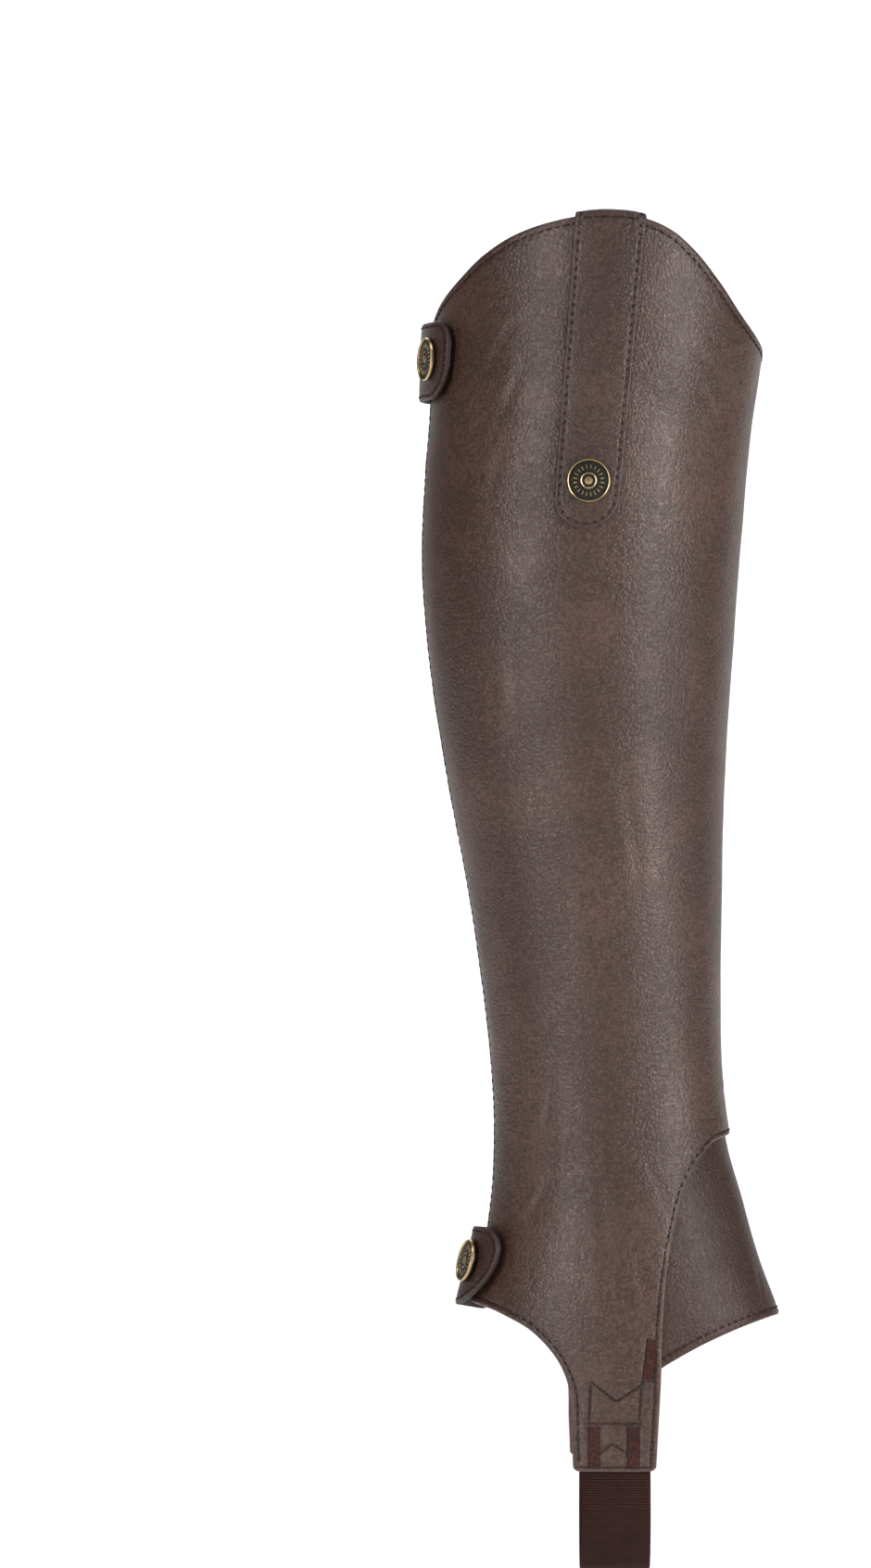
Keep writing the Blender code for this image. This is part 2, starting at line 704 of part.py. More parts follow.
def elastic_strap(collection):
    """The elastic from one tongue under the foot to the other."""
    start_angle = side_angle(ELASTIC_MIDDLE, LOOP_START)
    anchor = on_form(np.array(start_angle), np.array(LOOP_START), np.array(UNDER_OFFSET)) / MM
    radius = -anchor[1]
    straight = ELASTIC_TOP - LOOP_START
    half_length = straight + math.pi * radius / 2
    mesh = bpy.data.meshes.new("elastic_strap")
    grid = bmesh.new()
    bmesh.ops.create_grid(grid, x_segments=6, y_segments=34, size=1.0)
    for vert in grid.verts:
        across = vert.co.x * ELASTIC_WIDTH / 2
        run = (1 - abs(vert.co.y)) * half_length
        side = -1 if vert.co.y <= 0 else 1
        forward = ELASTIC_MIDDLE + across
        height = ELASTIC_TOP - min(run, straight)
        angle = side_angle(forward, height, side)
        x, y, z = on_form(np.array(angle), np.array(height), np.array(UNDER_OFFSET)) / MM
        if run > straight:
            turn = (run - straight) / radius
            bow = (abs(y) - radius) * math.cos(turn)
            y = side * (radius * math.cos(turn) + bow)
            z = LOOP_START - radius * math.sin(turn)
        vert.co = Vector((x, y, z)) * MM
    bmesh.ops.recalc_face_normals(grid, faces=grid.faces)
    outward = sum(f.normal.z * f.calc_center_median().z for f in grid.faces)
    if outward < 0:
        bmesh.ops.reverse_faces(grid, faces=grid.faces)
    grid.to_mesh(mesh)
    grid.free()
    return wall(piece("elastic_strap", mesh, "elastic", collection), ELASTIC_THICK)


def seat_frame(angle, height, offset_of, gap, radius=0.0):
    """Placement on a curved layer: Z points out, Y up the leg, a gap above its highest place."""
    centre = on_form(np.array(angle), np.array(height), np.array(offset_of(angle)))
    reach = max(radius, 1.0)
    turn = reach / (section_at(height)[2] * MM) * MM
    around = np.radians(np.arange(0, 360, 30))
    angles = angle + np.degrees(turn) * np.cos(around)
    heights = height + reach * np.sin(around)
    ring = on_form(angles, heights, offset_of(angles))
    out = Vector(np.linalg.svd(ring - ring.mean(axis=0))[2][2])
    if out.dot(Vector(form_normal(np.array(angle), np.array(height)))) < 0:
        out = -out
    highest = max((Vector(p) - Vector(centre)).dot(out) for p in [centre, *ring])
    up = (Vector((0, 0, 1)) - out * out.z).normalized()
    rotation = Matrix((up.cross(out), up, out)).transposed().to_4x4()
    place = Vector(centre) + out * (highest + gap * MM)
    return Matrix.Translation(place) @ rotation


def turned(name, profile, steps, placement, material, collection):
    """A turned piece: a profile of radius and height, spun round its axis."""
    mesh = mesh_of(name, [(r * MM, 0, h * MM) for r, h in profile], [])
    edges = bmesh.new()
    edges.from_mesh(mesh)
    edges.verts.ensure_lookup_table()
    for a, b in zip(edges.verts[:-1], edges.verts[1:]):
        edges.edges.new((a, b))
    edges.to_mesh(mesh)
    edges.free()
    obj = piece(name, mesh, material, collection)
    spin = obj.modifiers.new("turned", "SCREW")
    spin.steps = spin.render_steps = steps
    spin.use_merge_vertices = True
    spin.merge_threshold = 0.00002
    obj.matrix_world = placement
    return obj


def snap_cap(name, placement, collection):
    """A domed snap cap with a raised rim, its back flat on the cloth."""
    face = CAP_RADIUS - CAP_RIM
    profile = (
        (0.0, CAP_HEIGHT - 0.35),
        (face * 0.55, CAP_HEIGHT - 0.5),
        (face, CAP_HEIGHT - 0.75),
        (face + 0.35, CAP_HEIGHT - 0.15),
        (face + 0.75, CAP_HEIGHT),
        (CAP_RADIUS - 0.3, CAP_HEIGHT - 0.3),
        (CAP_RADIUS, CAP_HEIGHT - 0.9),
        (CAP_RADIUS - 0.2, 0.0),
        (0.0, 0.0),
    )
    return turned(name, profile, CAP_STEPS, placement, "antique_brass", collection)


def level(offset):
    """The same offset all round."""
    return lambda angle: offset + 0.0 * np.asarray(angle)


def snaps(collection):
    """The snap caps, and the studs that the tabs close on."""
    for name, (angle, height), table in (
        ("upper_snap", UPPER_CAP, UPPER_LIFT),
        ("lower_snap", LOWER_CAP, LOWER_LIFT),
    ):
        lift = lift_of(table)
        seat = seat_frame(angle, height, lift, SEAT_GAP, CAP_RADIUS)
        snap_cap(name + "_cap", seat, collection)
        tall = float(lift(angle)) - TAB_THICK - 2 * SEAT_GAP - STUD_CLEAR
        stud = ((0.0, tall), (STUD_RADIUS, tall), (STUD_RADIUS, 0.0), (0.0, 0.0))
        seat = seat_frame(angle, height, level(0.0), SEAT_GAP, STUD_RADIUS)
        turned(name + "_stud", stud, 16, seat, "antique_brass", collection)
    forward, height = STRIP_CAP
    angle = side_angle(forward, height)
    seat = seat_frame(angle, height, level(STRIP_OFFSET), SEAT_GAP, CAP_RADIUS)
    snap_cap("strip_cap", seat, collection)


def box_piece(name, low, high, placement, material, collection):
    """A box from one corner to the other in its placement's own millimetres."""
    mesh = bpy.data.meshes.new(name)
    cube = bmesh.new()
    bmesh.ops.create_cube(cube, size=1.0)
    low, high = Vector(low) * MM, Vector(high) * MM
    size = high - low
    for vert in cube.verts:
        vert.co = Vector(p * s for p, s in zip(vert.co, size)) + (low + high) / 2
    cube.to_mesh(mesh)
    cube.free()
    obj = piece(name, mesh, material, collection)
    obj.matrix_world = placement
    return obj


def zip_fastener(collection, helpers):
    """The closed zip at the back: two tapes, the chain between them, and the slider at its top."""
    for side, name in ((1, "zip_tape_inner"), (-1, "zip_tape_outer")):
        near = back_line(TAPE_FROM, TAPE_LOW, TAPE_HIGH, side)
        far = back_line(TAPE_TO, TAPE_LOW, TAPE_HIGH, side)
        outline = near + far[::-1]
        cloth(name, outline, TAPE_OFFSET, TAPE_THICK, "zip_tape", collection)
    half = CHAIN_WIDTH / 2
    left = back_line(half, CHAIN_LOW, CHAIN_HIGH, 1)
    right = back_line(-half, CHAIN_LOW, CHAIN_HIGH, 1)
    cloth("zip_chain", left + right[::-1], CHAIN_OFFSET, CHAIN_THICK, "antique_brass", collection)

    middle = (SLIDER_LOW + SLIDER_HIGH) / 2
    seat = seat_frame(180.0, middle, level(0.0), 0.0)
    across = SLIDER_WIDTH / 2
    half_tall = (SLIDER_HIGH - SLIDER_LOW) / 2
    upper_low = CHAIN_OFFSET + PLATE_CLEAR
    upper_high = upper_low + PLATE_THICK
    under_high = TAPE_OFFSET - TAPE_THICK - UNDER_PLATE_CLEAR
    under_low = under_high - PLATE_THICK
    post_low = CHAIN_HIGH + POST_CLEAR - middle
    body = box_piece(
        "zip_slider",
        (-across, -half_tall, upper_low),
        (across, half_tall, upper_high),
        seat,
        "antique_brass",
        collection,
    )
    pull_high = upper_high + PULL_CLEAR + PULL_THICK
    joined = {
        "under_plate": ((-across, -half_tall, under_low), (across, half_tall, under_high)),
        "post": ((-1.4, post_low, under_low + 0.2), (1.4, half_tall - 0.4, upper_high - 0.2)),
        "bail": ((-1.2, -3.0, upper_high - 0.3), (1.2, 3.0, pull_high - 0.2)),
        "pull": (
            (-PULL_WIDTH / 2, PULL_LOW - middle, upper_high + PULL_CLEAR),
            (PULL_WIDTH / 2, PULL_HIGH - middle, pull_high),
        ),
    }
    for name, (low, high) in joined.items():
        helper = box_piece("slider_" + name, low, high, seat, "antique_brass", helpers)
        helper.hide_render = True
        helper.display_type = "WIRE"
        union = body.modifiers.new(name, "BOOLEAN")
        union.operation = "UNION"
        union.object = helper


def main():
    """Builds the half chap."""
    for obj in list(bpy.data.objects):
        bpy.data.objects.remove(obj)
    chap = bpy.data.collections.new("half_chap")
    helpers = bpy.data.collections.new("joined_shapes")
    for collection in (chap, helpers):
        bpy.context.scene.collection.children.link(collection)
    leather_wrap(chap)
    lining(chap)
    top_facing(chap)
    suede_calf(chap)
    vamp(chap)
    outer_strip(chap)
    tabs(chap)
    elastic_strap(chap)
    zip_fastener(chap, helpers)
    snaps(chap)


main()
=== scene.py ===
"""Looks of a half chap for the right leg: leather, suede, lining, elastic, zip, snaps and sewing.

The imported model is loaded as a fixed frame, and a finer skin is laid on each of its pieces. Lengths
in the tables are millimetres; the meshes are metres. +X is towards the toe, +Z up, and the outer side
of the leg is at -Y. A cut is drawn flat: across is the way round the leg, and up is the height.
"""

import logging
import math
from dataclasses import dataclass
from enum import Enum
from typing import Callable, Iterable, NamedTuple, Optional, Sequence

import bmesh
import bpy
import numpy as np
from mathutils import Matrix, Vector
from mathutils.geometry import delaunay_2d_cdt
from mathutils.kdtree import KDTree


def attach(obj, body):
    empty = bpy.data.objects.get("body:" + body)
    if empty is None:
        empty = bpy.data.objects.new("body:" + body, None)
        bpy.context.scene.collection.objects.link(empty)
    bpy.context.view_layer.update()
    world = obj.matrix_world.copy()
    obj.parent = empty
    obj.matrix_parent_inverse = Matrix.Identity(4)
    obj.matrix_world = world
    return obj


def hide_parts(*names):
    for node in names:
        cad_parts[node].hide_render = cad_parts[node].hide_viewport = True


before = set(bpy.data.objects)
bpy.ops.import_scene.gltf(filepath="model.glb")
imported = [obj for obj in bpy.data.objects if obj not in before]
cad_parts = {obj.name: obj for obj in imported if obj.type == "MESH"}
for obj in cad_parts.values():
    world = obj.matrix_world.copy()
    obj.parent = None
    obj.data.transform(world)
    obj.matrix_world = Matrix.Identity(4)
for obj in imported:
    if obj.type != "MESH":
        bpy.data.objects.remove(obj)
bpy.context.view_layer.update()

log = logging.getLogger("half_chap")

MM = 0.001
BODY = "root"
# A flat cut measures the way round the leg as an angle on this radius
WRAP_RADIUS = 50.0
# The step along the edges of a cut
EDGE_STEP = 1.4
# Counts as far from any edge, stitch or hole
FAR = 9.0

Point = tuple[float, float]
Place = tuple[float, float, float]
Line = list[Point]
Values = np.ndarray
Offset = float | Callable[[Values], Values]
Lay = Callable[[Values, Values], Values]
Faces = Sequence[Sequence[int]]


# Curves and outlines on the flat cut


def smooth_value(positions: Sequence[float], values: Sequence[float], at: Values) -> Values:
    """Reads a cubic curve through a short table.

    Args:
        positions: Where the values are given, rising or falling.
        values: The value at each position.
        at: The positions to read.

    Returns:
        The values at those positions.
    """
    places, heights = np.asarray(positions, float), np.asarray(values, float)
    if places[0] > places[-1]:
        places, heights = places[::-1], heights[::-1]
    slopes = np.gradient(heights, places)
    at = np.clip(at, places[0], places[-1])
    index = np.clip(np.searchsorted(places, at) - 1, 0, len(places) - 2)
    width = places[index + 1] - places[index]
    t = (at - places[index]) / width
    start, end = heights[index], heights[index + 1]
    lead = t * (1 - t) ** 2 * width * slopes[index]
    trail = t * t * (1 - t) * width * slopes[index + 1]
    return start + (end - start) * (3 - 2 * t) * t * t + lead - trail


def bump(distance: Values, reach: float) -> Values:
    """Gives a soft bell that is 1 at no distance and fades over the reach."""
    return np.exp(-((distance / reach) ** 2))


def rise(value: Values, low: float, high: float) -> Values:
    """Gives a smooth step from 0 at low to 1 at high."""
    t = np.clip((value - low) / (high - low), 0, 1)
    return t * t * (3 - 2 * t)


def curve(points: Iterable[Point], step: float) -> Line:
    """Samples a smooth curve through some points.

    Args:
        points: The points, in order.
        step: The rough distance between samples.

    Returns:
        The samples, with both ends.
    """
    given = np.asarray(list(points), float)
    run = np.concatenate([[0], np.cumsum(np.linalg.norm(np.diff(given, axis=0), axis=1))])
    at = np.linspace(0, run[-1], max(1, round(run[-1] / step)) + 1)
    if len(given) == 2:
        return [tuple(given[0] + (given[1] - given[0]) * share) for share in at / run[-1]]
    return list(zip(smooth_value(run, given[:, 0], at), smooth_value(run, given[:, 1], at)))


def moved_aside(line: Line, distance: float) -> Line:
    """Moves a line to its right.

    Args:
        line: The line.
        distance: How far, below zero to its left.

    Returns:
        The moved line.
    """
    points = np.asarray(line, float)
    ahead = np.gradient(points, axis=0)
    ahead /= np.linalg.norm(ahead, axis=1, keepdims=True)
    return [tuple(p) for p in points + distance * np.stack([ahead[:, 1], -ahead[:, 0]], axis=1)]


def crossing(first: Line, second: Line) -> Optional[tuple[int, int, Point]]:
    """Finds where the first line last crosses the second.

    Args:
        first: The line that is followed to its end.
        second: The line that it runs into.

    Returns:
        The stretch of each line and the point, or None where they don't cross.
    """
    a, c = np.asarray(first, float)[:, None], np.asarray(second, float)[None]
    along, other = a[1:] - a[:-1], c[:, 1:] - c[:, :-1]
    apart = c[:, :-1] - a[:-1]
    area = along[..., 0] * other[..., 1] - along[..., 1] * other[..., 0]
    safe = np.where(np.abs(area) < 1e-9, np.inf, area)
    s = (apart[..., 0] * other[..., 1] - apart[..., 1] * other[..., 0]) / safe
    t = (apart[..., 0] * along[..., 1] - apart[..., 1] * along[..., 0]) / safe
    slack = 1e-6
    inside = (s >= -slack) & (s <= 1 + slack) & (t >= -slack) & (t <= 1 + slack)
    hits = np.argwhere(inside & np.isfinite(safe))
    if not len(hits):
        return None
    i = int(hits[:, 0].max())
    j = int(hits[hits[:, 0] == i][:, 1].min())
    point = a[i, 0] + s[i, j] * along[i, 0]
    return i, j, (float(point[0]), float(point[1]))


def joined_outline(lines: Sequence[Line]) -> Line:
    """Joins lines into one closed outline, each cut off where it crosses the next.

    Args:
        lines: The edges of the piece in order.

    Returns:
        The points of the outline, without the first one again.
    """
    edges = [list(line) for line in lines]
    for k, line in enumerate(edges):
        following = edges[(k + 1) % len(edges)]
        found = crossing(line, following)
        if found:
            i, j, point = found
            line[i + 1 :] = [point]
            following[: j + 1] = [point]
    outline: Line = []
    for point in (p for line in edges for p in line):
        if not outline or math.dist(point, outline[-1]) > 0.3:
            outline.append(point)
    return outline if math.dist(outline[0], outline[-1]) > 0.3 else outline[:-1]


def eased_corners(outline: Line, passes: int = 2, sharp: float = 0.35) -> Line:
    """Rounds the sharp corners of an outline a little.

    Args:
        outline: The closed outline.
        passes: How often each corner is eased.
        sharp: The turn in radians above which a point counts as a corner.

    Returns:
        The outline with its corners eased.
    """
    ring = np.asarray(outline, float)
    for _ in range(passes):
        before, after = np.roll(ring, 1, axis=0), np.roll(ring, -1, axis=0)
        back, ahead = ring - before, after - ring
        turn = np.arctan2(back[:, 0] * ahead[:, 1] - back[:, 1] * ahead[:, 0], (back * ahead).sum(axis=1))
        corner = (np.abs(turn) > sharp)[:, None]
        ring = np.where(corner, ring * 0.5 + (before + after) * 0.25, ring)
    return [tuple(p) for p in ring]


class Outline:
    """A closed outline that answers how far inside it a point lies."""

    SAMPLE = 0.25

    def __init__(self, ring: Line) -> None:
        """Keeps the ring and a search tree of samples along it.

        Args:
            ring: The points of the outline.
        """
        self.ring = np.asarray(ring, float)
        nexts = np.roll(self.ring, -1, axis=0)
        samples = []
        for start, end in zip(self.ring, nexts):
            count = max(1, math.ceil(np.linalg.norm(end - start) / self.SAMPLE))
            samples += [start + (end - start) * k / count for k in range(count)]
        self.tree = tree_of(samples)

    def inside(self, points: Values) -> Values:
        """Says for each point whether it is inside.

        Args:
            points: The points.

        Returns:
            True or false for each.
        """
        found = []
        ends, nexts = self.ring, np.roll(self.ring, -1, axis=0)
        up = nexts[:, 1] - ends[:, 1]
        slope = (nexts[:, 0] - ends[:, 0]) / np.where(up == 0, 1e-12, up)
        for part in np.array_split(points, max(1, len(points) // 4000)):
            spans = (ends[:, 1] > part[:, None, 1]) != (nexts[:, 1] > part[:, None, 1])
            meets = ends[:, 0] + (part[:, None, 1] - ends[:, 1]) * slope
            found.append(((part[:, None, 0] < meets) & spans).sum(axis=1) % 2 == 1)
        return np.concatenate(found)

    def depth(self, points: Values) -> Values:
        """Measures how far inside each point is.

        Args:
            points: The points.

        Returns:
            The distances from the outline, below zero outside.
        """
        if not len(points):
            return np.zeros(0)
        away = np.array([self.tree.find((x, y, 0))[2] for x, y in points])
        return np.where(self.inside(points), away, -away)


def tree_of(points: Sequence[Sequence[float]]) -> KDTree:
    """Builds a search tree of flat points.

    Args:
        points: The points.

    Returns:
        The tree.
    """
    tree = KDTree(len(points))
    for index, point in enumerate(points):
        tree.insert((point[0], point[1], 0), index)
    tree.balance()
    return tree


def apart_from(points: Values, kept: Sequence[Sequence[float]], distance: float) -> Values:
    """Keeps the points that lie some way from all those already kept.

    Args:
        points: The candidates.
        kept: The points that they may not crowd.
        distance: The least distance.

    Returns:
        The candidates that pass.
    """
    if not len(points) or not len(kept):
        return points
    tree = tree_of(kept)
    clear = [tree.find((x, y, 0))[2] >= distance for x, y in points]
    return points[np.array(clear)]


# The worn form


class Section(NamedTuple):
    """The form seen from the side at one height."""

    height: float
    back: float
    front: float
    half_width: float


class Fold(NamedTuple):
    """A broad soft fold: its place, reach each way, depth and lean."""

    angle: float
    height: float
    half_angle: float
    half_height: float
    depth: float
    lean: float


class Crease(NamedTuple):
    """A fine crease: its middle, half length, heading from level, width, depth and bow."""

    angle: float
    height: float
    half_length: float
    heading: float
    width: float
    depth: float
    bow: float


SECTIONS = tuple(
    Section(*row)
    for row in (
        (120.0, -53.4, 71.0, 54.0),
        (90.0, -53.5, 68.8, 54.0),
        (60.0, -54.3, 64.9, 53.5),
        (40.0, -55.3, 61.8, 53.0),
        (20.0, -57.0, 59.6, 52.5),
        (0.0, -58.0, 58.0, 52.0),
        (-40.0, -56.3, 54.9, 50.5),
        (-80.0, -50.6, 52.3, 47.0),
        (-120.0, -43.2, 50.9, 42.5),
        (-160.0, -36.9, 50.3, 38.5),
        (-200.0, -32.6, 51.2, 36.0),
        (-222.0, -32.2, 54.2, 35.5),
        (-242.0, -33.3, 60.0, 36.0),
        (-262.0, -36.3, 65.7, 37.0),
        (-283.0, -41.9, 73.2, 38.0),
        (-303.0, -43.5, 78.0, 38.0),
        (-345.0, -43.5, 78.0, 36.5),
    )
)

FOLDS = tuple(
    Fold(*row)
    for row in (
        (150.0, -150.0, 9.0, 75.0, 0.9, 0.05),
        (134.0, -165.0, 9.0, 60.0, -0.8, 0.06),
        (118.0, -60.0, 12.0, 80.0, -0.7, 0.03),
        (96.0, -20.0, 13.0, 70.0, 0.6, -0.02),
        (-112.0, -95.0, 14.0, 85.0, -0.7, 0.04),
        (-66.0, -70.0, 13.0, 90.0, 0.6, -0.03),
        (-132.0, 48.0, 11.0, 30.0, -0.8, -0.15),
        (-40.0, 38.0, 13.0, 26.0, -0.7, 0.25),
        (-128.0, -232.0, 12.0, 34.0, -0.7, 0.1),
        (112.0, -268.0, 14.0, 24.0, -0.6, -0.1),
        (-24.0, -248.0, 12.0, 22.0, 0.6, 0.1),
        (24.0, -252.0, 12.0, 22.0, -0.6, 0.1),
    )
)

# Heading 0 runs level round the leg, 90 runs up it. Depth below zero is a trough.
CREASES = tuple(
    Crease(*row)
    for row in (
        (-128.0, 62.0, 13.0, 62.0, 1.5, -0.34, 0.05),
        (-121.0, 47.0, 17.0, 70.0, 1.7, -0.30, -0.04),
        (-134.0, 36.0, 12.0, 48.0, 1.3, -0.28, 0.06),
        (-117.0, 74.0, 9.0, 38.0, 1.2, -0.24, 0.05),
        (-140.0, 74.0, 8.0, 28.0, 1.1, -0.25, 0.0),
        (-124.0, 20.0, 15.0, 78.0, 1.8, -0.22, 0.03),
        (-57.0, 72.0, 10.0, -24.0, 1.3, -0.30, 0.05),
        (-51.0, 60.0, 13.0, -33.0, 1.5, -0.32, -0.04),
        (-62.0, 55.0, 8.0, -12.0, 1.1, -0.24, 0.0),
        (-46.0, 45.0, 12.0, -48.0, 1.5, -0.26, 0.05),
        (-34.0, 62.0, 9.0, 12.0, 1.3, -0.26, 0.03),
        (-118.0, -60.0, 26.0, 84.0, 2.1, -0.26, 0.02),
        (-73.0, -108.0, 30.0, 95.0, 2.2, -0.24, -0.02),
        (-104.0, -128.0, 24.0, 88.0, 2.0, -0.22, 0.02),
        (-122.0, -206.0, 15.0, 74.0, 1.6, -0.22, 0.04),
        (-112.0, -226.0, 20.0, 82.0, 1.8, -0.36, -0.03),
        (-130.0, -241.0, 12.0, 60.0, 1.4, -0.34, 0.05),
        (-98.0, -252.0, 22.0, 92.0, 1.6, -0.30, 0.02),
        (-84.0, -268.0, 20.0, 97.0, 1.5, -0.30, -0.03),
        (-90.0, -296.0, 14.0, 86.0, 1.2, -0.26, 0.02),
        (-78.0, -300.0, 11.0, 95.0, 1.1, -0.24, 0.02),
        (-71.0, -238.0, 17.0, 104.0, 1.7, -0.17, 0.03),
        (-60.0, -205.0, 12.0, 118.0, 1.5, -0.15, -0.04),
        (-10.0, -204.0, 10.0, 6.0, 1.5, -0.26, 0.06),
        (14.0, -196.0, 12.0, -9.0, 1.6, -0.28, 0.05),
        (33.0, -212.0, 9.0, -22.0, 1.3, -0.24, 0.0),
        (6.0, -20.0, 24.0, 86.0, 2.4, -0.18, 0.02),
        (22.0, -110.0, 22.0, 94.0, 2.2, -0.20, 0.02),
        (72.0, -222.0, 17.0, 78.0, 1.7, -0.30, 0.04),
        (92.0, -246.0, 16.0, 92.0, 1.6, -0.32, -0.03),
        (108.0, -262.0, 13.0, 104.0, 1.4, -0.30, 0.03),
        (84.0, -282.0, 15.0, 88.0, 1.3, -0.26, 0.02),
        (120.0, 40.0, 16.0, 66.0, 2.0, -0.26, 0.04),
        (104.0, -30.0, 20.0, 80.0, 2.3, -0.22, 0.02),
        (141.0, -96.0, 22.0, 86.0, 2.1, -0.26, 0.02),
        (127.0, -190.0, 17.0, 78.0, 1.8, -0.26, 0.03),
        (155.0, 38.0, 12.0, 50.0, 1.6, -0.24, 0.05),
        (-8.0, -246.0, 12.0, 78.0, 1.6, -0.24, 0.04),
        (12.0, -262.0, 13.0, 96.0, 1.6, -0.24, -0.03),
        (-22.0, -272.0, 10.0, 70.0, 1.4, -0.22, 0.03),
        (28.0, -240.0, 10.0, 110.0, 1.4, -0.24, 0.03),
    )
)


class Side(Enum):
    """The two sides of the leg, as the sign of Y."""

    OUTER = -1
    INNER = 1


@dataclass(frozen=True)
class LegForm:
    """The filled-out leg of the chap, as the outer face of its leather."""

    sections: tuple[Section, ...] = SECTIONS
    folds: tuple[Fold, ...] = FOLDS
    creases: tuple[Crease, ...] = CREASES
    shin_narrowing: float = 0.08
    crease_fade: float = 0.75
    # The ridge beside a crease, in crease widths and depths
    ridge_aside: float = 1.9
    ridge_width: float = 1.3
    ridge_share: float = 0.55

    def section_at(self, height: Values) -> tuple[Values, Values, Values]:
        """Reads the form at a height.

        Args:
            height: One height or an array of them.

        Returns:
            The middle, the half depth and the half width.
        """
        heights, backs, fronts, widths = (list(column) for column in zip(*self.sections))
        back = smooth_value(heights, backs, height)
        front = smooth_value(heights, fronts, height)
        return (front + back) / 2, (front - back) / 2, smooth_value(heights, widths, height)

    def bare(self, angle: Values, height: Values) -> Values:
        """Places points on the form without folds.

        Args:
            angle: The angles round the leg; 0 is the shin.
            height: The heights.

        Returns:
            The places in millimetres.
        """
        middle, half_depth, half_width = self.section_at(height)
        turn = np.radians(angle)
        x = middle + half_depth * np.cos(turn)
        y = half_width * np.sin(turn) * (1 - self.shin_narrowing * np.cos(turn))
        return np.stack([x, y, height + 0 * x], axis=-1)

    def normal(self, angle: Values, height: Values) -> Values:
        """Finds the outward directions of the form.

        Args:
            angle: The angles round the leg.
            height: The heights.

        Returns:
            A direction for each.
        """
        around = self.bare(angle + 0.5, height) - self.bare(angle - 0.5, height)
        upward = self.bare(angle, height + 0.5) - self.bare(angle, height - 0.5)
        out = np.cross(around, upward)
        return out / np.linalg.norm(out, axis=-1, keepdims=True)

    def fold_lift(self, angle: Values, height: Values) -> Values:
        """Sums how far the broad folds lift the cloth.

        Args:
            angle: The angles round the leg.
            height: The heights.

        Returns:
            The lift of each place.
        """
        lift = np.zeros(np.broadcast(angle, height).shape)
        for fold in self.folds:
            above = height - fold.height
            turn = (angle - fold.angle - fold.lean * above + 180) % 360 - 180
            fade = (turn / fold.half_angle) ** 2 + (above / fold.half_height) ** 2
            lift = lift + fold.depth * np.exp(-fade)
        return lift

    def crease_lift(self, angle: Values, height: Values) -> Values:
        """Sums how far the fine creases lift the cloth, each a trough beside a low ridge.

        Args:
            angle: The angles round the leg.
            height: The heights.

        Returns:
            The lift of each place.
        """
        lift = np.zeros(np.broadcast(angle, height).shape)
        for crease in self.creases:
            across = np.radians((angle - crease.angle + 180) % 360 - 180) * WRAP_RADIUS * 0.95
            up = height - crease.height
            heading = math.radians(crease.heading)
            along = across * math.cos(heading) + up * math.sin(heading)
            beside = up * math.cos(heading) - across * math.sin(heading)
            beside = beside - crease.bow * along * along / crease.half_length
            fade = bump(along, crease.half_length * self.crease_fade)
            ridge = bump(beside - self.ridge_aside * crease.width, crease.width * self.ridge_width)
            lift = lift + crease.depth * fade * (bump(beside, crease.width) - self.ridge_share * ridge)
        return lift

    def ripple(self, angle: Values, height: Values) -> Values:
        """Draws the low uneven waves that hand-cut leather has all over.

        Args:
            angle: The angles round the leg.
            height: The heights.

        Returns:
            The lift of each place.
        """
        turn = np.radians(angle)
        broad = np.sin(3 * turn + height / 21.0) * np.sin(height / 33.0 + 1.3)
        middle = np.sin(7 * turn - height / 13.0 + 0.7) * np.sin(height / 17.0 + 2 * turn)
        small = np.sin(11 * turn + height / 6.1 + 2.1) * np.sin(height / 8.3 - 5 * turn)
        return 0.16 * broad + 0.09 * middle + 0.045 * small

    def place(self, angle: Values, height: Values, offset: Values) -> Values:
        """Places points a distance out from the outer face of the leather.

        Args:
            angle: The angles round the leg.
            height: The heights.
            offset: The distances out, below zero inward.

        Returns:
            The places in metres.
        """
        lift = self.fold_lift(angle, height) + self.crease_lift(angle, height) + self.ripple(angle, height)
        out = (offset + lift)[..., None]
        return (self.bare(angle, height) + self.normal(angle, height) * out) * MM

    def place_flat(self, points: Values, offset: Values) -> Values:
        """Places points of a flat cut on the form, in metres."""
        return self.place(angles_of(points), points[:, 1], offset)

    def side_angle(self, forward: Values, height: Values, side: Side) -> Values:
        """Finds the angle round the leg of a place seen from the side."""
        middle, half_depth, _ = self.section_at(height)
        return side.value * np.degrees(np.arccos(np.clip((forward - middle) / half_depth, -1, 1)))

    def on_side(self, forward: float, height: float, side: Side) -> Point:
        """Finds the flat point of a place seen from the side."""
        return flat(self.side_angle(forward, height, side), height)

    def all_on_side(self, places: Iterable[Point], side: Side) -> Line:
        """Finds the flat points of places seen from the side."""
        return [self.on_side(forward, height, side) for forward, height in places]

    def beside_back(self, distance: float, height: float, side: Side) -> Point:
        """Finds the flat point that lies some way from the back line, on one side."""
        around = self.section_at(height)[2] * (1 + self.shin_narrowing)
        return flat(side.value * (180 - math.degrees(distance / around)), height)

    def back_line(self, distance: float, low: float, high: float, side: Side, step: float) -> Line:
        """Draws a line that keeps its distance from the back line.

        Args:
            distance: The distance round the leg, below zero past the back line.
            low: The lowest height.
            high: The highest height.
            side: The side that the distance is measured on.
            step: The rough distance between samples.

        Returns:
            The flat points from low to high.
        """
        levels = np.linspace(low, high, max(2, round((high - low) / step) + 1))
        return [self.beside_back(distance, level, side) for level in levels]


def flat(angle: float, height: float) -> Point:
    """Gives the flat point of an angle round the leg and a height."""
    return (math.radians(angle) * WRAP_RADIUS, height)


def flats(places: Iterable[Point]) -> Line:
    """Gives the flat points of angles and heights."""
    return [flat(angle, height) for angle, height in places]


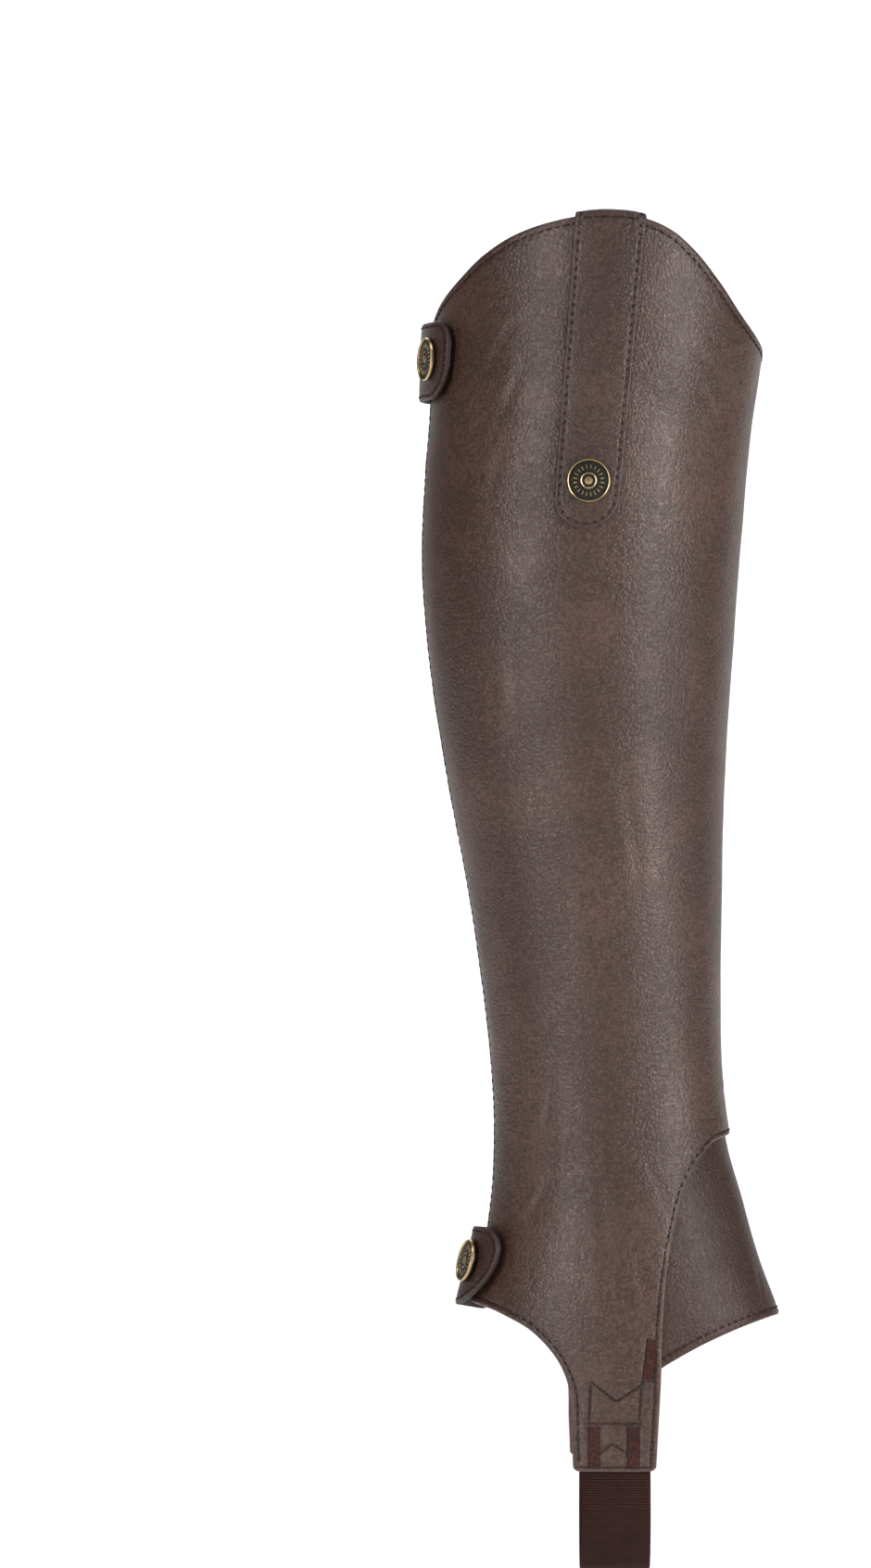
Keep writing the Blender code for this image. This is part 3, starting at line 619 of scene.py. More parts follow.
def angles_of(points: Values) -> Values:
    """Gives the angles round the leg of flat points."""
    return np.degrees(points[:, 0] / WRAP_RADIUS)


def offset_at(offset: Offset, places: Values) -> Values:
    """Reads an offset, which is the same all over or changes from place to place."""
    return offset(places) if callable(offset) else np.full(np.shape(places)[:1], offset)


FORM = LegForm()
MATERIALS: dict[str, bpy.types.Material] = {}


# Cloth meshes


@dataclass(frozen=True)
class Seam:
    """A row of stitches along a line of the flat cut."""

    line: Line
    pitch: float = 3.2
    length: float = 1.85
    radius: float = 0.34
    trough: float = 0.3

    def holes(self, offset: float = 0.0, place: Optional[Lay] = None) -> Values:
        """Finds the needle holes and the middles between them, by their real distance.

        Args:
            offset: The offset at which the distance is measured.
            place: How flat points and offsets become places; the form's own way if none is given.

        Returns:
            Flat points: holes at even places, middles of the stitches at odd ones.
        """
        points = np.asarray(self.line, float)
        places = (place or FORM.place_flat)(points, np.full(len(points), offset)) / MM
        run = np.concatenate([[0], np.cumsum(np.linalg.norm(np.diff(places, axis=0), axis=1))])
        count = max(1, round(run[-1] / self.pitch))
        at = np.linspace(0, run[-1], count * 2 + 1)
        return np.stack([np.interp(at, run, points[:, 0]), np.interp(at, run, points[:, 1])], axis=1)


@dataclass(frozen=True)
class EdgeShape:
    """How the outer face of a piece behaves beside its edge."""

    roll: float = 0.45
    reach: float = 0.9
    puff: float = 0.1
    puff_at: float = 1.2
    seam_reach: float = 0.62

    def lift(self, edge: Values, sewn: Values, trough: float) -> Values:
        """Sums the rolled edge, the puff beside it and the pull of the stitches.

        Args:
            edge: The distance from the edge.
            sewn: The distance from the nearest row of stitches.
            trough: How deep the stitches pull.

        Returns:
            The lift of the outer face.
        """
        rolled = -self.roll * np.clip(1 - edge / self.reach, 0, 1) ** 2
        puffed = self.puff * bump(edge - self.puff_at, 0.8)
        return rolled + puffed - trough * bump(sewn, self.seam_reach)


@dataclass
class Cloth:
    """A wall of cloth cut to an outline and laid on the form."""

    name: str
    outline: Line
    offset: float
    thickness: float
    step: float
    seams: tuple[Seam, ...] = ()
    edge_rows: tuple[float, ...] = (0.35, 0.9, 1.6, 2.4, 3.4)
    edge_shape: EdgeShape = EdgeShape()
    relief: Optional[Callable[[Values], Values]] = None
    place: Optional[Lay] = None

    # The least distances between points, from the outline, and of the lattice from the outline
    CROWD = 0.55
    CLEAR = 0.3
    LATTICE_CLEAR = 0.8
    # The rows of points on both sides of a seam
    ROW_STEP = 1.6
    ROW_ASIDE = 0.75
    SEAM_STEP = 0.4
    # The pull of a needle hole as a share of the trough, its reach, and the back's share of the roll
    HOLE_PULL = 0.22
    HOLE_REACH = 0.5
    BACK_ROLL = 0.6

    def build(self) -> bpy.types.Object:
        """Builds the closed mesh, with its distances from edge and stitches as attributes.

        Returns:
            The object.
        """
        ring = eased_corners(self.outline)
        cut = Outline(ring)
        inner = self.inner_points(cut)
        corners = [Vector(p) for p in ring] + [Vector(p) for p in inner]
        points, _, faces, *_ = delaunay_2d_cdt(corners, [], [list(range(len(ring)))], 1, 1e-5)
        flat_points = np.array([tuple(p) for p in points])
        triangles = np.array([tuple(f) for f in faces if len(f) == 3])
        a, b, c = (flat_points[triangles[:, k]] for k in range(3))
        turn = (b[:, 0] - a[:, 0]) * (c[:, 1] - a[:, 1]) - (b[:, 1] - a[:, 1]) * (c[:, 0] - a[:, 0])
        triangles[turn < 0] = triangles[turn < 0][:, ::-1]

        edge = np.maximum(cut.depth(flat_points), 0)
        sewn, holed, trough = self.seam_distances(flat_points)
        shape = self.edge_shape
        lift = shape.lift(edge, sewn, trough) - self.HOLE_PULL * trough * bump(holed, self.HOLE_REACH)
        back_roll = shape.roll * self.BACK_ROLL * np.clip(1 - edge / shape.reach, 0, 1) ** 2
        body = np.full(len(flat_points), self.offset)
        if self.relief:
            body = body + self.relief(flat_points)
        place = self.place or FORM.place_flat
        outer = place(flat_points, body + lift)
        back = place(flat_points, body - self.thickness + back_roll)
        obj = closed_wall(self.name, outer, back, triangles)
        for name, values in (("edge", edge), ("sewn", sewn), ("holed", holed)):
            store(obj.data, name, np.concatenate([values, values + (name != "edge") * FAR]))
        store(obj.data, "across", np.tile(flat_points[:, 0], 2))
        store(obj.data, "along", np.tile(flat_points[:, 1], 2))
        return obj

    def inner_points(self, cut: Outline) -> Line:
        """Chooses the points inside the outline: stitch rows, edge rows, then an even lattice.

        Args:
            cut: The outline.

        Returns:
            The points.
        """
        kept: list = []
        for seam in self.seams:
            holes = seam.holes(self.offset, self.place)
            fresh = holes[cut.depth(holes) > self.CLEAR]
            kept += list(apart_from(fresh, kept, self.CROWD))
        for seam in self.seams:
            middle = curve(seam.line, self.ROW_STEP)
            for aside in (-self.ROW_ASIDE, self.ROW_ASIDE):
                row = np.asarray(moved_aside(middle, aside))
                row = row[cut.depth(row) > self.CLEAR]
                kept += list(apart_from(row, kept, self.CROWD))
        ring = cut.ring
        ahead = np.roll(ring, -1, axis=0) - np.roll(ring, 1, axis=0)
        ahead /= np.linalg.norm(ahead, axis=1, keepdims=True)
        side = np.stack([ahead[:, 1], -ahead[:, 0]], axis=1)
        if (cut.depth(ring + 0.4 * side) > 0).mean() < 0.5:
            side = -side
        for distance in self.edge_rows:
            row = ring + distance * side
            row = row[cut.depth(row) > distance - 0.12]
            near = 0.7 * distance if distance < self.CROWD else self.CROWD
            kept += list(apart_from(row, kept, near))
        kept += list(apart_from(self.lattice(cut), kept, self.step * 0.62))
        return [tuple(p) for p in kept]

    def lattice(self, cut: Outline) -> Values:
        """Fills the outline with an even lattice of triangles.

        Args:
            cut: The outline.

        Returns:
            The points of the lattice.
        """
        low, high = cut.ring.min(axis=0), cut.ring.max(axis=0)
        rows = np.arange(low[1], high[1], self.step * math.sqrt(0.75))
        points = []
        for k, level in enumerate(rows):
            columns = np.arange(low[0] + (k % 2) * self.step / 2, high[0], self.step)
            points.append(np.stack([columns, np.full(len(columns), level)], axis=1))
        every = np.concatenate(points)
        return every[cut.depth(every) > self.LATTICE_CLEAR]

    def seam_distances(self, points: Values) -> tuple[Values, Values, Values]:
        """Measures the distance to the nearest stitch row and needle hole.

        Args:
            points: The flat points.

        Returns:
            The distance to a row, the distance to a hole, and the trough of the nearest row.
        """
        far = np.full(len(points), FAR)
        if not self.seams:
            return far, far.copy(), np.zeros(len(points))
        rows, holes, troughs = [], [], []
        for seam in self.seams:
            found = seam.holes(self.offset, self.place)
            holes += [tuple(p) for p in found[::2]]
            dense = curve([tuple(p) for p in found], self.SEAM_STEP)
            rows += dense
            troughs += [seam.trough] * len(dense)
        row_tree, hole_tree = tree_of(rows), tree_of(holes)
        nearest = [row_tree.find((x, y, 0)) for x, y in points]
        sewn = np.minimum([found[2] for found in nearest], FAR)
        holed = np.minimum([hole_tree.find((x, y, 0))[2] for x, y in points], FAR)
        return sewn, holed, np.array([troughs[found[1]] for found in nearest])


def closed_wall(name: str, outer: Values, back: Values, triangles: Values) -> bpy.types.Object:
    """Joins an outer and a back face with a rim into one closed mesh.

    Args:
        name: The name of the piece.
        outer: Points of the outer face in metres.
        back: The same points on the back face.
        triangles: The faces of the outer face, turned outward.

    Returns:
        The object.
    """
    count = len(outer)
    edges = np.concatenate([triangles[:, [0, 1]], triangles[:, [1, 2]], triangles[:, [2, 0]]])
    keys = edges[:, 0] * count + edges[:, 1]
    rim = edges[~np.isin(edges[:, 1] * count + edges[:, 0], keys)]
    walls = [(b, a, a + count, b + count) for a, b in rim]
    inner = triangles[:, ::-1] + count
    faces = [tuple(t) for t in triangles] + [tuple(t) for t in inner] + walls
    return piece(name, np.concatenate([outer, back]), faces)


def piece(name: str, places: Sequence[Place], faces: Faces, sharp: float = 55.0) -> bpy.types.Object:
    """Makes a smooth-shaded object of points in metres and faces.

    Args:
        name: The name of the piece.
        places: The points.
        faces: The faces.
        sharp: The angle in degrees above which an edge stays sharp.

    Returns:
        The object, linked to the scene.
    """
    mesh = bpy.data.meshes.new(name)
    mesh.from_pydata([tuple(map(float, p)) for p in places], [], [tuple(map(int, f)) for f in faces])
    mesh.update()
    mesh.shade_smooth()
    mesh.set_sharp_from_angle(angle=math.radians(sharp))
    obj = bpy.data.objects.new(name, mesh)
    bpy.context.scene.collection.objects.link(obj)
    return obj


def store(mesh: bpy.types.Mesh, name: str, values: Values) -> None:
    """Stores a value for each point of a mesh."""
    layer = mesh.attributes.new(name, "FLOAT", "POINT")
    layer.data.foreach_set("value", np.asarray(values, np.float32))


def settle(obj: bpy.types.Object, slot: str, finish: str = "", node: str = "") -> None:
    """Gives a piece its finish, says what it rides on and hides the node that it replaces.

    Args:
        obj: The piece.
        slot: Not used.
        finish: The name of its material, if it has none yet.
        node: The node that it replaces, if there is one.
    """
    if finish:
        obj.data.materials.append(MATERIALS[finish])
    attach(obj, BODY)
    if node:
        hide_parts(node)
    log.info("%s: %d faces", obj.name, len(obj.data.polygons))


# Thread


def thread_frames(places: Values, outward: Values) -> tuple[Values, Values]:
    """Finds the heading and side of each point along a row.

    Args:
        places: The points of the row.
        outward: The outward direction at each.

    Returns:
        The directions along the row and across it.
    """
    ahead = np.gradient(places, axis=0)
    ahead /= np.linalg.norm(ahead, axis=1, keepdims=True)
    beside = np.cross(outward, ahead)
    return ahead, beside / np.linalg.norm(beside, axis=1, keepdims=True)


class Sewing:
    """All the thread on one piece, gathered into one mesh."""

    SIDES = 6
    # The path of a stitch: place along its half length, and height in thread radii
    ARC = ((-1.0, -0.95), (-0.84, -0.2), (-0.4, 0.2), (0.4, 0.2), (0.84, -0.2), (1.0, -0.95))
    END_THIN = 0.75
    FLATNESS = 0.85
    SATIN_SPACING = 0.62
    SATIN_RADIUS = 0.3
    SATIN_DIVE = 0.5

    def __init__(self, name: str) -> None:
        """Starts with no stitches.

        Args:
            name: The name of the piece.
        """
        self.name = name
        self.places: list[Values] = []
        self.faces: list[tuple[int, ...]] = []

    def stitch(self, middle: Values, ahead: Values, beside: Values, length: float, radius: float) -> None:
        """Adds one stitch, which dives into the cloth at both ends.

        Args:
            middle: Its middle in metres.
            ahead: Its heading.
            beside: The direction across it.
            length: Its length in millimetres.
            radius: The radius of the thread in millimetres.
        """
        up = np.cross(ahead, beside)
        start = sum(len(part) for part in self.places)
        turns = np.arange(self.SIDES) * 2 * math.pi / self.SIDES
        for along, rise_share in self.ARC:
            thin = self.END_THIN if abs(along) == 1.0 else 1.0
            centre = middle + (ahead * along * length / 2 + up * rise_share * radius) * MM
            ring = np.outer(np.cos(turns), beside) + np.outer(np.sin(turns), up) * self.FLATNESS
            self.places.append(centre + ring * radius * thin * MM)
        rings = len(self.ARC)
        for k in range(rings - 1):
            for s in range(self.SIDES):
                a, b = start + k * self.SIDES + s, start + k * self.SIDES + (s + 1) % self.SIDES
                self.faces.append((a, a + self.SIDES, b + self.SIDES, b))
        self.faces.append(tuple(start + s for s in range(self.SIDES)))
        last = start + (rings - 1) * self.SIDES
        self.faces.append(tuple(last + s for s in reversed(range(self.SIDES))))

    def row(self, seam: Seam, lift: Offset, place: Optional[Lay] = None) -> None:
        """Adds a row of stitches between the needle holes of a seam.

        Args:
            seam: The row.
            lift: The offset of the thread's middle.
            place: How flat points and offsets become places; the form's own way if none is given.
        """
        lay = place or FORM.place_flat
        holes = seam.holes(0.0, place)
        height = offset_at(lift, holes)
        places = lay(holes, height)
        outward = lay(holes, height + 1.0) - places
        outward /= np.linalg.norm(outward, axis=1, keepdims=True)
        ahead, beside = thread_frames(places, outward)
        for k in range(1, len(holes), 2):
            self.stitch(places[k], ahead[k], beside[k], seam.length, seam.radius)

    def satin(self, left: Line, right: Line, lift: float) -> None:
        """Adds a dense bar of threads laid side by side between two lines.

        Args:
            left: Two points at the ends of the bar's left side.
            right: The same on its right side.
            lift: The offset of the threads.
        """
        count = max(2, round(math.dist(*left) / self.SATIN_SPACING))
        shares = np.linspace(0, 1, count)[:, None]
        near, far = ((1 - shares) * bar[0] + shares * bar[1] for bar in np.asarray((left, right)))
        for k in range(count - 1):
            points = np.array([near[k], far[k + 1]])
            places = FORM.place_flat(points, np.full(2, lift))
            outward = FORM.place_flat(points, np.full(2, lift + 1.0)) - places
            middle, span = places.mean(axis=0), places[1] - places[0]
            length = float(np.linalg.norm(span))
            ahead = span / length
            beside = np.cross(outward.mean(axis=0), ahead)
            beside /= np.linalg.norm(beside)
            self.stitch(middle, ahead, beside, length / MM + self.SATIN_DIVE, self.SATIN_RADIUS)

    def build(self) -> bpy.types.Object:
        """Builds the mesh of all the stitches."""
        return piece(self.name, np.concatenate(self.places), self.faces, 70.0)


def sew(name: str, seams: Iterable[Seam], lift: Offset, finish: str, place: Optional[Lay] = None) -> None:
    """Sews rows of stitches as one piece.

    Args:
        name: The name of the piece.
        seams: The rows.
        lift: The offset of the thread's middle.
        finish: The name of the thread's finish.
        place: How flat points and offsets become places; the form's own way if none is given.
    """
    sewing = Sewing(name)
    for seam in seams:
        sewing.row(seam, lift, place)
    settle(sewing.build(), "thread", finish)


# The leather wrap and what lies under it


class Layer:
    """Offsets of the outer face of each layer, and their thickness."""

    LEATHER_THICK = 1.4
    UNDER = -1.85
    SUEDE_THICK = 1.3
    VAMP_THICK = 1.3
    FACING_THICK = 1.3
    LINING_THICK = 1.0
    ELASTIC_THICK = 1.4
    TAPE = -3.5
    TAPE_THICK = 0.6


@dataclass(frozen=True)
class WrapCut:
    """The edges of the leather wrap: distance forward and height, or angle and height."""

    arch: tuple[Point, ...] = (
        (-45.3, 88.3), (-36.2, 96.7), (-25.4, 103.4), (-11.9, 108.0), (9.6, 110.8),
        (22.7, 109.1), (31.3, 105.4), (39.8, 98.4), (48.4, 88.3), (57.3, 76.1),
    )
    hem: tuple[Point, ...] = (
        (-29.2, -281.9), (-18.5, -287.8), (-9.7, -297.3), (-5.5, -306.8), (-4.3, -324.4),
    )
    instep_edge: tuple[Point, ...] = (
        (27.3, -314.5), (28.0, -295.0), (28.6, -281.0), (30.0, -266.1), (32.4, -252.2),
        (35.8, -238.4), (41.1, -227.9),
    )
    calf_seam: tuple[Point, ...] = (
        (53.4, 39.6), (49.3, 6.8), (42.7, -62.0), (37.3, -103.5), (31.1, -147.0),
        (24.7, -172.0), (7.5, -209.0), (-22.9, -243.0),
    )
    shin_edge: tuple[Point, ...] = ((-17.0, 68.3), (0.0, 64.0), (12.0, 60.8), (22.0, 59.4))
    inner_edge: tuple[Point, ...] = ((60.0, 63.6), (95.0, 68.4), (130.0, 73.0), (155.0, 75.0))
    instep_apex: tuple[Point, ...] = (
        (-33.0, -220.6), (-18.0, -218.8), (0.0, -218.2), (18.0, -218.8), (33.0, -220.6),
    )
    seam_top: Point = (29.6, 60.0)
    seam_end_height: float = -256.0
    tongue_bottom: float = -337.4
    tongue_back: float = -3.8
    tongue_front: float = 26.0
    mouth_back: float = 75.2
    hem_back: float = -278.0
    back_gap: float = 4.0
    allowance: float = 9.0

    ORDER = (
        "top", "seam", "inner_back", "inner_hem", "inner_tongue", "instep",
        "outer_tongue", "outer_hem", "outer_back",
    )

    def lines(self, step: float = EDGE_STEP) -> dict[str, Line]:
        """Draws the edges of the wrap, clockwise from the back of its top edge.

        Args:
            step: The rough distance between points.

        Returns:
            The lines by name.
        """
        seam_start = flat(*self.seam_top)
        seam_end = FORM.beside_back(self.back_gap, self.seam_end_height, Side.INNER)
        arch = FORM.all_on_side(self.arch, Side.OUTER)
        seam = FORM.all_on_side(self.calf_seam, Side.INNER)
        lines = {
            "top": curve([self.back_top(Side.OUTER), *arch, *flats(self.shin_edge), seam_start], step),
            "seam": curve([seam_start, *seam, seam_end], step),
        }
        toes = {}
        tongue = ((self.tongue_back, self.tongue_bottom), (self.tongue_front, self.tongue_bottom))
        for side in Side:
            name, order = side.name.lower(), side.value
            corner = FORM.beside_back(self.back_gap, self.hem_back, side)
            heel, toes[side] = FORM.all_on_side(tongue, side)
            lines[name + "_hem"] = curve([corner, *FORM.all_on_side(self.hem, side), heel], step)[::order]
            lines[name + "_tongue"] = curve([heel, toes[side]], step)[::order]
        up = FORM.all_on_side(self.instep_edge, Side.INNER)
        down = FORM.all_on_side(reversed(self.instep_edge), Side.OUTER)
        apex = flats(reversed(self.instep_apex))
        lines["instep"] = curve([toes[Side.INNER], *up, *apex, *down, toes[Side.OUTER]], step)
        inner = FORM.back_line(self.back_gap, self.hem_back, self.seam_end_height, Side.INNER, step)
        lines["inner_back"] = inner[::-1]
        lines["outer_back"] = FORM.back_line(self.back_gap, self.hem_back, self.mouth_back, Side.OUTER, step)
        return lines

    def back_top(self, side: Side) -> Point:
        """Finds the top corner at the back, beside the zip."""
        return FORM.beside_back(self.back_gap, self.mouth_back, side)

    def inset(self, insets: dict[str, float], step: float) -> Line:
        """Draws the outline with each edge moved inward."""
        lines = self.lines(step)
        return joined_outline([moved_aside(lines[name], insets[name]) for name in self.ORDER])


CUT = WrapCut()


def trimmed(line: Line, outline: Line, clear: float) -> Line:
    """Keeps the longest stretch of a line that lies some way inside an outline.

    Args:
        line: The line.
        outline: The outline.
        clear: The least distance inside it.

    Returns:
        The points of that stretch.
    """
    points = np.asarray(line, float)
    ok = Outline(outline).depth(points) >= clear
    best, start = (0, 0), None
    for k, good in enumerate([*ok, False]):
        if good and start is None:
            start = k
        if not good and start is not None:
            if k - start > best[1] - best[0]:
                best = (start, k)
            start = None
    return [tuple(p) for p in points[best[0] : best[1]]]


def row_beside(edge: Line, inset: float, outline: Line, clear: float, **sizes: float) -> Seam:
    """Lays a row of stitches beside an edge, as far as it runs inside the outline.

    Args:
        edge: The edge, with the cloth on its right.
        inset: The distance of the row from it.
        outline: The outline of the cloth.
        clear: The least distance of the row from the outline.
        sizes: The sizes of the seam that aren't the usual ones.

    Returns:
        The row.
    """
    return Seam(trimmed(moved_aside(edge, inset), outline, clear), **sizes)


class Stitches(NamedTuple):
    """The pitch, length and thread radius of a row, in the order of Seam."""

    pitch: float
    length: float
    radius: float


@dataclass
class LeatherWrap:
    """The leather that goes from the zip round the outer side and shin to the inner ankle."""

    step: float = 1.75
    hem_inset: float = 2.0
    arch_inset: float = 2.5
    seam_inset: float = 1.7
    back_inset: float = 2.2
    # The share of the stitches' pull that the thread follows, and how far it stands above that
    thread_sink: float = 0.8
    thread_rise: float = 0.16
    # The anchor of the elastic, distance forward and height: V rows, upright rows and the level row
    v_row: tuple[Point, ...] = ((2.9, -305.5), (11.8, -312.4), (20.5, -306.5))
    chevron: tuple[Point, ...] = ((5.6, -331.4), (10.3, -327.4), (14.9, -330.4))
    uprights: tuple[tuple[Point, Point], ...] = (
        ((2.6, -307.4), (1.9, -318.6)),
        ((20.5, -308.4), (19.9, -318.6)),
    )
    level_row: tuple[Point, Point] = ((1.9, -320.2), (19.9, -320.2))
    bottom_inset: float = 1.5
    bottom_end: float = 1.8
    v_stitches: Stitches = Stitches(1.9, 1.25, 0.3)
    plain_stitches: Stitches = Stitches(2.4, 1.5, 0.3)
    level_stitches: Stitches = Stitches(2.6, 1.9, 0.36)
    bar_stitches: Stitches = Stitches(0.95, 0.5, 0.22)
    anchor_trough: float = 0.26
    # The dense bars: both ends of the left side, then of the right side
    bars: tuple[tuple[Point, Point, Point, Point], ...] = (
        ((2.0, -321.6), (2.0, -335.6), (5.4, -321.6), (5.4, -335.6)),
        ((15.9, -321.6), (15.9, -335.6), (19.6, -321.6), (19.6, -335.6)),
        ((23.0, -290.2), (21.2, -304.6), (26.2, -290.2), (24.5, -304.6)),
    )
    bar_lift: float = 0.02
    bar_pull: float = 0.3
    # The bar at the inner heel: its distances from the edge, and its heights
    heel_bar: tuple[float, float, float, float] = (1.0, 4.6, -260.0, -277.0)
    heel_bar_lift: float = 0.12
    # The two edges of the hidden elastic, top and low end
    ridges: tuple[tuple[Point, Point], ...] = (
        ((1.3, -306.0), (0.7, -336.0)),
        ((22.3, -306.0), (21.6, -336.0)),
    )
    ridge_reach: float = 0.9
    ridge_lift: float = 0.42

    def outline(self) -> Line:
        """Draws the outline of the wrap."""
        lines = CUT.lines()
        return joined_outline([lines[name] for name in CUT.ORDER])

    def seams(self) -> tuple[Seam, ...]:
        """Lays out every row of stitches on the wrap.

        Returns:
            The rows along the edges, then those at both ends of the elastic.
        """
        lines, outline = CUT.lines(), self.outline()
        insets = {
            "top": self.arch_inset,
            "seam": self.seam_inset,
            "inner_back": self.back_inset,
            "inner_hem": self.hem_inset,
            "instep": self.seam_inset,
            "outer_hem": self.hem_inset,
            "outer_back": self.back_inset,
        }
        rows = []
        for name, inset in insets.items():
            rows.append(row_beside(lines[name], inset, outline, min(inset, 1.6) - 0.1))
        low = CUT.tongue_bottom + self.bottom_inset
        bottom = ((CUT.tongue_back + self.bottom_end, low), (CUT.tongue_front - self.bottom_end, low))
        for side in Side:
            rows += [self.row_on(places, side, self.v_stitches) for places in (self.v_row, self.chevron)]
            rows += [self.row_on(places, side, self.plain_stitches) for places in self.uprights]
            rows.append(self.row_on(self.level_row, side, self.level_stitches))
            rows.append(self.row_on(bottom, side, self.plain_stitches))
            for a, b, c, d in self.bars:
                rows += [self.row_on(places, side, self.bar_stitches) for places in ((a, b), (c, d))]
        return tuple(rows)

    def row_on(self, places: Sequence[Point], side: Side, stitches: Stitches) -> Seam:
        """Lays a row through places given forward and up on one side.

        Args:
            places: The corners of the row.
            side: The side of the leg.
            stitches: The sizes of its stitches.

        Returns:
            The row.
        """
        corners = FORM.all_on_side(places, side)
        line: Line = []
        for start, end in zip(corners, corners[1:]):
            line += curve([start, end], min(0.8, stitches.pitch / 2))[bool(line) :]
        return Seam(line, *stitches, self.anchor_trough)

    def relief(self, points: Values) -> Values:
        """Lifts the leather over the edges of the hidden elastic, and presses it in under the bars.

        Args:
            points: The flat points.

        Returns:
            The lift of each.
        """
        height = points[:, 1]
        middle, half_depth, _ = FORM.section_at(height)
        forward = middle + half_depth * np.cos(np.radians(angles_of(points)))
        lift = np.zeros(len(points))
        for top, low in self.ridges:
            share = np.clip((top[1] - height) / (top[1] - low[1]), 0, 1)
            across = forward - (top[0] + (low[0] - top[0]) * share)
            begun = rise(-height, -top[1] - 2, -top[1] + 3)
            lift += self.ridge_lift * bump(across, self.ridge_reach) * begun
        for (ax, az), (bx, bz), (cx, _), _ in self.bars:
            share = np.clip((az - height) / (az - bz), 0, 1)
            left, right = ax + (bx - ax) * share, cx + (bx - ax) * share
            within = rise(forward, left - 0.8, left + 0.2) * rise(-forward, -right - 0.8, -right + 0.2)
            within *= rise(height, bz - 0.8, bz + 0.2) * rise(-height, -az - 0.8, -az + 0.2)
            lift -= self.bar_pull * within
        return lift

    def dress(self) -> None:
        """Builds the wrap, the dark rows on it, and the redder bars and level rows."""
        seams = self.seams()
        skin = Cloth(
            "wrap_skin", self.outline(), 0.0, Layer.LEATHER_THICK, self.step, seams, relief=self.relief
        )
        settle(skin.build(), "leather", "wrap_hide", "leather_wrap")
        sewing, bars = Sewing("wrap_sewing"), Sewing("wrap_bars")
        for seam in seams:
            into = bars if seam.radius == self.level_stitches.radius else sewing
            rise_by = self.thread_rise - seam.trough * self.thread_sink
            into.row(seam, lambda points, more=rise_by: self.relief(points) + more)
        for side in Side:
            for a, b, c, d in self.bars:
                bars.satin(FORM.all_on_side((a, b), side), FORM.all_on_side((c, d), side), self.bar_lift)
        near, far, *heights = self.heel_bar
        left, right = (
            [FORM.beside_back(CUT.back_gap + inset, height, Side.INNER) for height in heights]
            for inset in (near, far)
        )
        bars.satin(left, right, self.heel_bar_lift)
        settle(sewing.build(), "thread", "dark_thread")
        settle(bars.build(), "thread", "red_thread")


@dataclass
class Lining:
    """The dark fabric inside the leather."""

    clear: float = 0.6
    back: float = 5.0
    facing_width: float = 7.5
    over_elastic: float = 3.5
    elastic_top: float = -309.0
    step: float = 3.0
    edge_step: float = 1.6

    def dress(self) -> None:
        """Builds the lining, short of the turned edges, the suede and the vamp."""
        insets = dict.fromkeys(CUT.ORDER, CUT.allowance + self.clear)
        insets["top"] = self.facing_width + self.clear
        insets["inner_back"] = insets["outer_back"] = self.back
        tongue = self.elastic_top - CUT.tongue_bottom + self.over_elastic
        insets["inner_tongue"] = insets["outer_tongue"] = tongue
        outline = CUT.inset(insets, self.edge_step)
        cloth = Cloth("lining_cloth", outline, Layer.UNDER, Layer.LINING_THICK, self.step,
                      edge_rows=(0.6, 1.8), edge_shape=EdgeShape(roll=0.2, puff=0.0))
        settle(cloth.build(), "lining", "lining_weave", "lining")


@dataclass
class TopFacing:
    """The leather turned in along the top edge."""

    width: float = 7.5
    clear: float = 0.6
    step: float = 1.8
    # The two rows that show inside: inset from the top edge, and thread radius
    rows: tuple[Point, Point] = ((2.5, 0.3), (5.9, 0.26))

    def dress(self) -> None:
        """Builds the facing and the thread that shows on its inner face."""
        lines = CUT.lines()
        top = lines["top"]
        lower = moved_aside(top, self.width)
        side = moved_aside(lines["seam"], CUT.allowance + self.clear)
        side = [(side[0][0], side[0][1] + CUT.allowance), *side]
        outline = joined_outline([top, side, lower[::-1], [lower[0], top[0]]])
        skin = Cloth("facing_skin", outline, Layer.UNDER, Layer.FACING_THICK, self.step,
                     edge_rows=(0.35, 1.0, 1.9), edge_shape=EdgeShape(roll=0.25, puff=0.0))
        settle(skin.build(), "leather", "tab_hide", "top_facing")
        rows = [row_beside(top, inset, outline, 1.0, radius=radius) for inset, radius in self.rows]
        sew("facing_sewing", rows, Layer.UNDER - Layer.FACING_THICK - 0.1, "red_thread")


